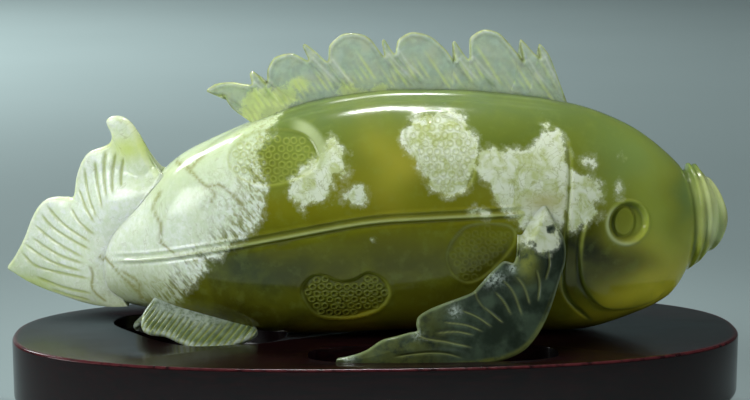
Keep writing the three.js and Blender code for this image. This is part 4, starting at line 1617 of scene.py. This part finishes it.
body_stone = clouded_stone()
smoky = smoky_stone()
striped = striped_stone()
finish_piece(carved_body(), "carving", "jade_body", body_stone, "fish_body")
finish_piece(make_tail(), "carving", "jade_tail", body_stone, "tail_fin")
finish_piece(make_dorsal(), "carving", "jade_dorsal", dorsal_stone(), "dorsal_fin")
for hand, side in (("right", -1), ("left", 1)):
    pectoral = make_pectoral("jade_pectoral_fin_" + hand, side)
    finish_piece(pectoral, "carving", "jade_pectoral", smoky, "pectoral_fin_" + hand)
    anal = make_anal("jade_anal_fin_" + hand, *anal_fins[hand])
    finish_piece(anal, "carving", "jade_anal", striped, "anal_fin_" + hand)

wood = lacquered_wood()
dowel_wood = plain_wood()
felt_cloth = felt()
finish_piece(make_board(), "stand", "dark_wood", wood, "stand_board")
for corner in ("front_right", "front_left", "rear_right", "rear_left"):
    finish_piece(make_foot("foot_" + corner), "stand", "dark_wood", wood, "foot_" + corner)
    finish_piece(make_pad("felt_pad_" + corner), "stand", "felt", felt_cloth, "felt_pad_" + corner)
    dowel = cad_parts["foot_dowel_" + corner]
    dowel.data.materials.clear()
    dowel.data.materials.append(dowel_wood)


# ---------- studio ----------
FLOOR_FLAT = 4200
FLOOR_BEND = 900
FLOOR_WALL_TOP = 2600
FLOOR_SEGMENTS = 120


def add_floor():
    """A wide pale floor that curves up into a low wall all round."""
    profile = [(NEAR_AXIS, 0), (400, 0), (1500, 0), (FLOOR_FLAT, 0)]
    for turn in np.radians(np.linspace(10, 90, 9)):
        profile.append((FLOOR_FLAT + FLOOR_BEND * math.sin(turn), FLOOR_BEND - FLOOR_BEND * math.cos(turn)))
    profile.append((FLOOR_FLAT + FLOOR_BEND, FLOOR_WALL_TOP))
    rings = [oval(0, 0, radius, radius, 2, height, FLOOR_SEGMENTS) for radius, height in profile]
    faces = ring_faces(len(rings), FLOOR_SEGMENTS).tolist()
    faces.append(list(range(FLOOR_SEGMENTS)))
    mesh = bpy.data.meshes.new("studio_floor")
    mesh.from_pydata((np.vstack(rings) * MM).tolist(), [], faces)
    mesh.shade_smooth()
    shader = Shader("studio_paper")
    colour = shader.mix(shader.noise(400, 2), srgb(144, 160, 160), srgb(151, 167, 167))
    shader.set(Base_Color=colour, Roughness=0.85)
    mesh.materials.append(shader.material)
    make_object("studio_floor", mesh)


def add_light(name, place, aim, size, power, colour, beam, mirrored):
    data = bpy.data.lights.new(name, "AREA")
    data.shape = "RECTANGLE"
    data.size, data.size_y = size
    data.energy = power
    data.color = colour
    data.spread = math.radians(beam)
    light = make_object(name, data)
    light.visible_glossy = mirrored
    light.location = place
    light.rotation_mode = "QUATERNION"
    light.rotation_quaternion = (Vector(aim) - Vector(place)).to_track_quat("-Z", "Y")


FISH = (0, 0, 0.09)                    # what most lights aim at
studio_lights = (
    # name, place, aim, size, power, colour, beam in degrees, seen in the gloss
    ("softbox_above", (0.0, 0.1, 0.7), FISH, (0.2, 0.05), 0.24, (0.98, 1, 1), 62, True),
    ("bounce_above", (0.0, 0.05, 0.75), FISH, (0.5, 0.5), 0.17, (0.98, 1, 1), 62, False),
    ("bounce_right", (0.95, -0.4, 0.5), (0.1, 0, 0.08), (0.3, 0.3), 0.14, (1, 1, 0.97), 36, False),
    ("bounce_left", (-0.88, -0.6, 0.72), FISH, (0.5, 0.5), 1.36, (0.96, 1, 1), 60, False),
    ("softbox_left", (-1.18, -0.36, 0.45), FISH, (0.38, 0.38), 0.34, (0.96, 1, 1), 60, True),
    ("backdrop_left", (-1.4, 1.15, 1.4), (-0.8, 1.9, 0.3), (0.8, 0.8), 50, (0.95, 1, 1), 150, True),
    ("backdrop_high", (-1.6, 3.2, 1.2), (-1.8, 5.1, 1), (1.5, 1), 23, (0.93, 1, 1), 150, False),
)
WORLD_COLOUR = (0.75, 0.82, 0.88, 1)
WORLD_STRENGTH = 0.07


def add_world():
    world = bpy.data.worlds.new("studio")
    world.use_nodes = True
    background = world.node_tree.nodes["Background"]
    background.inputs["Color"].default_value = WORLD_COLOUR
    background.inputs["Strength"].default_value = WORLD_STRENGTH
    bpy.context.scene.world = world
    bpy.context.scene.view_settings.view_transform = "Standard"


add_floor()
for light in studio_lights:
    add_light(*light)
add_world()
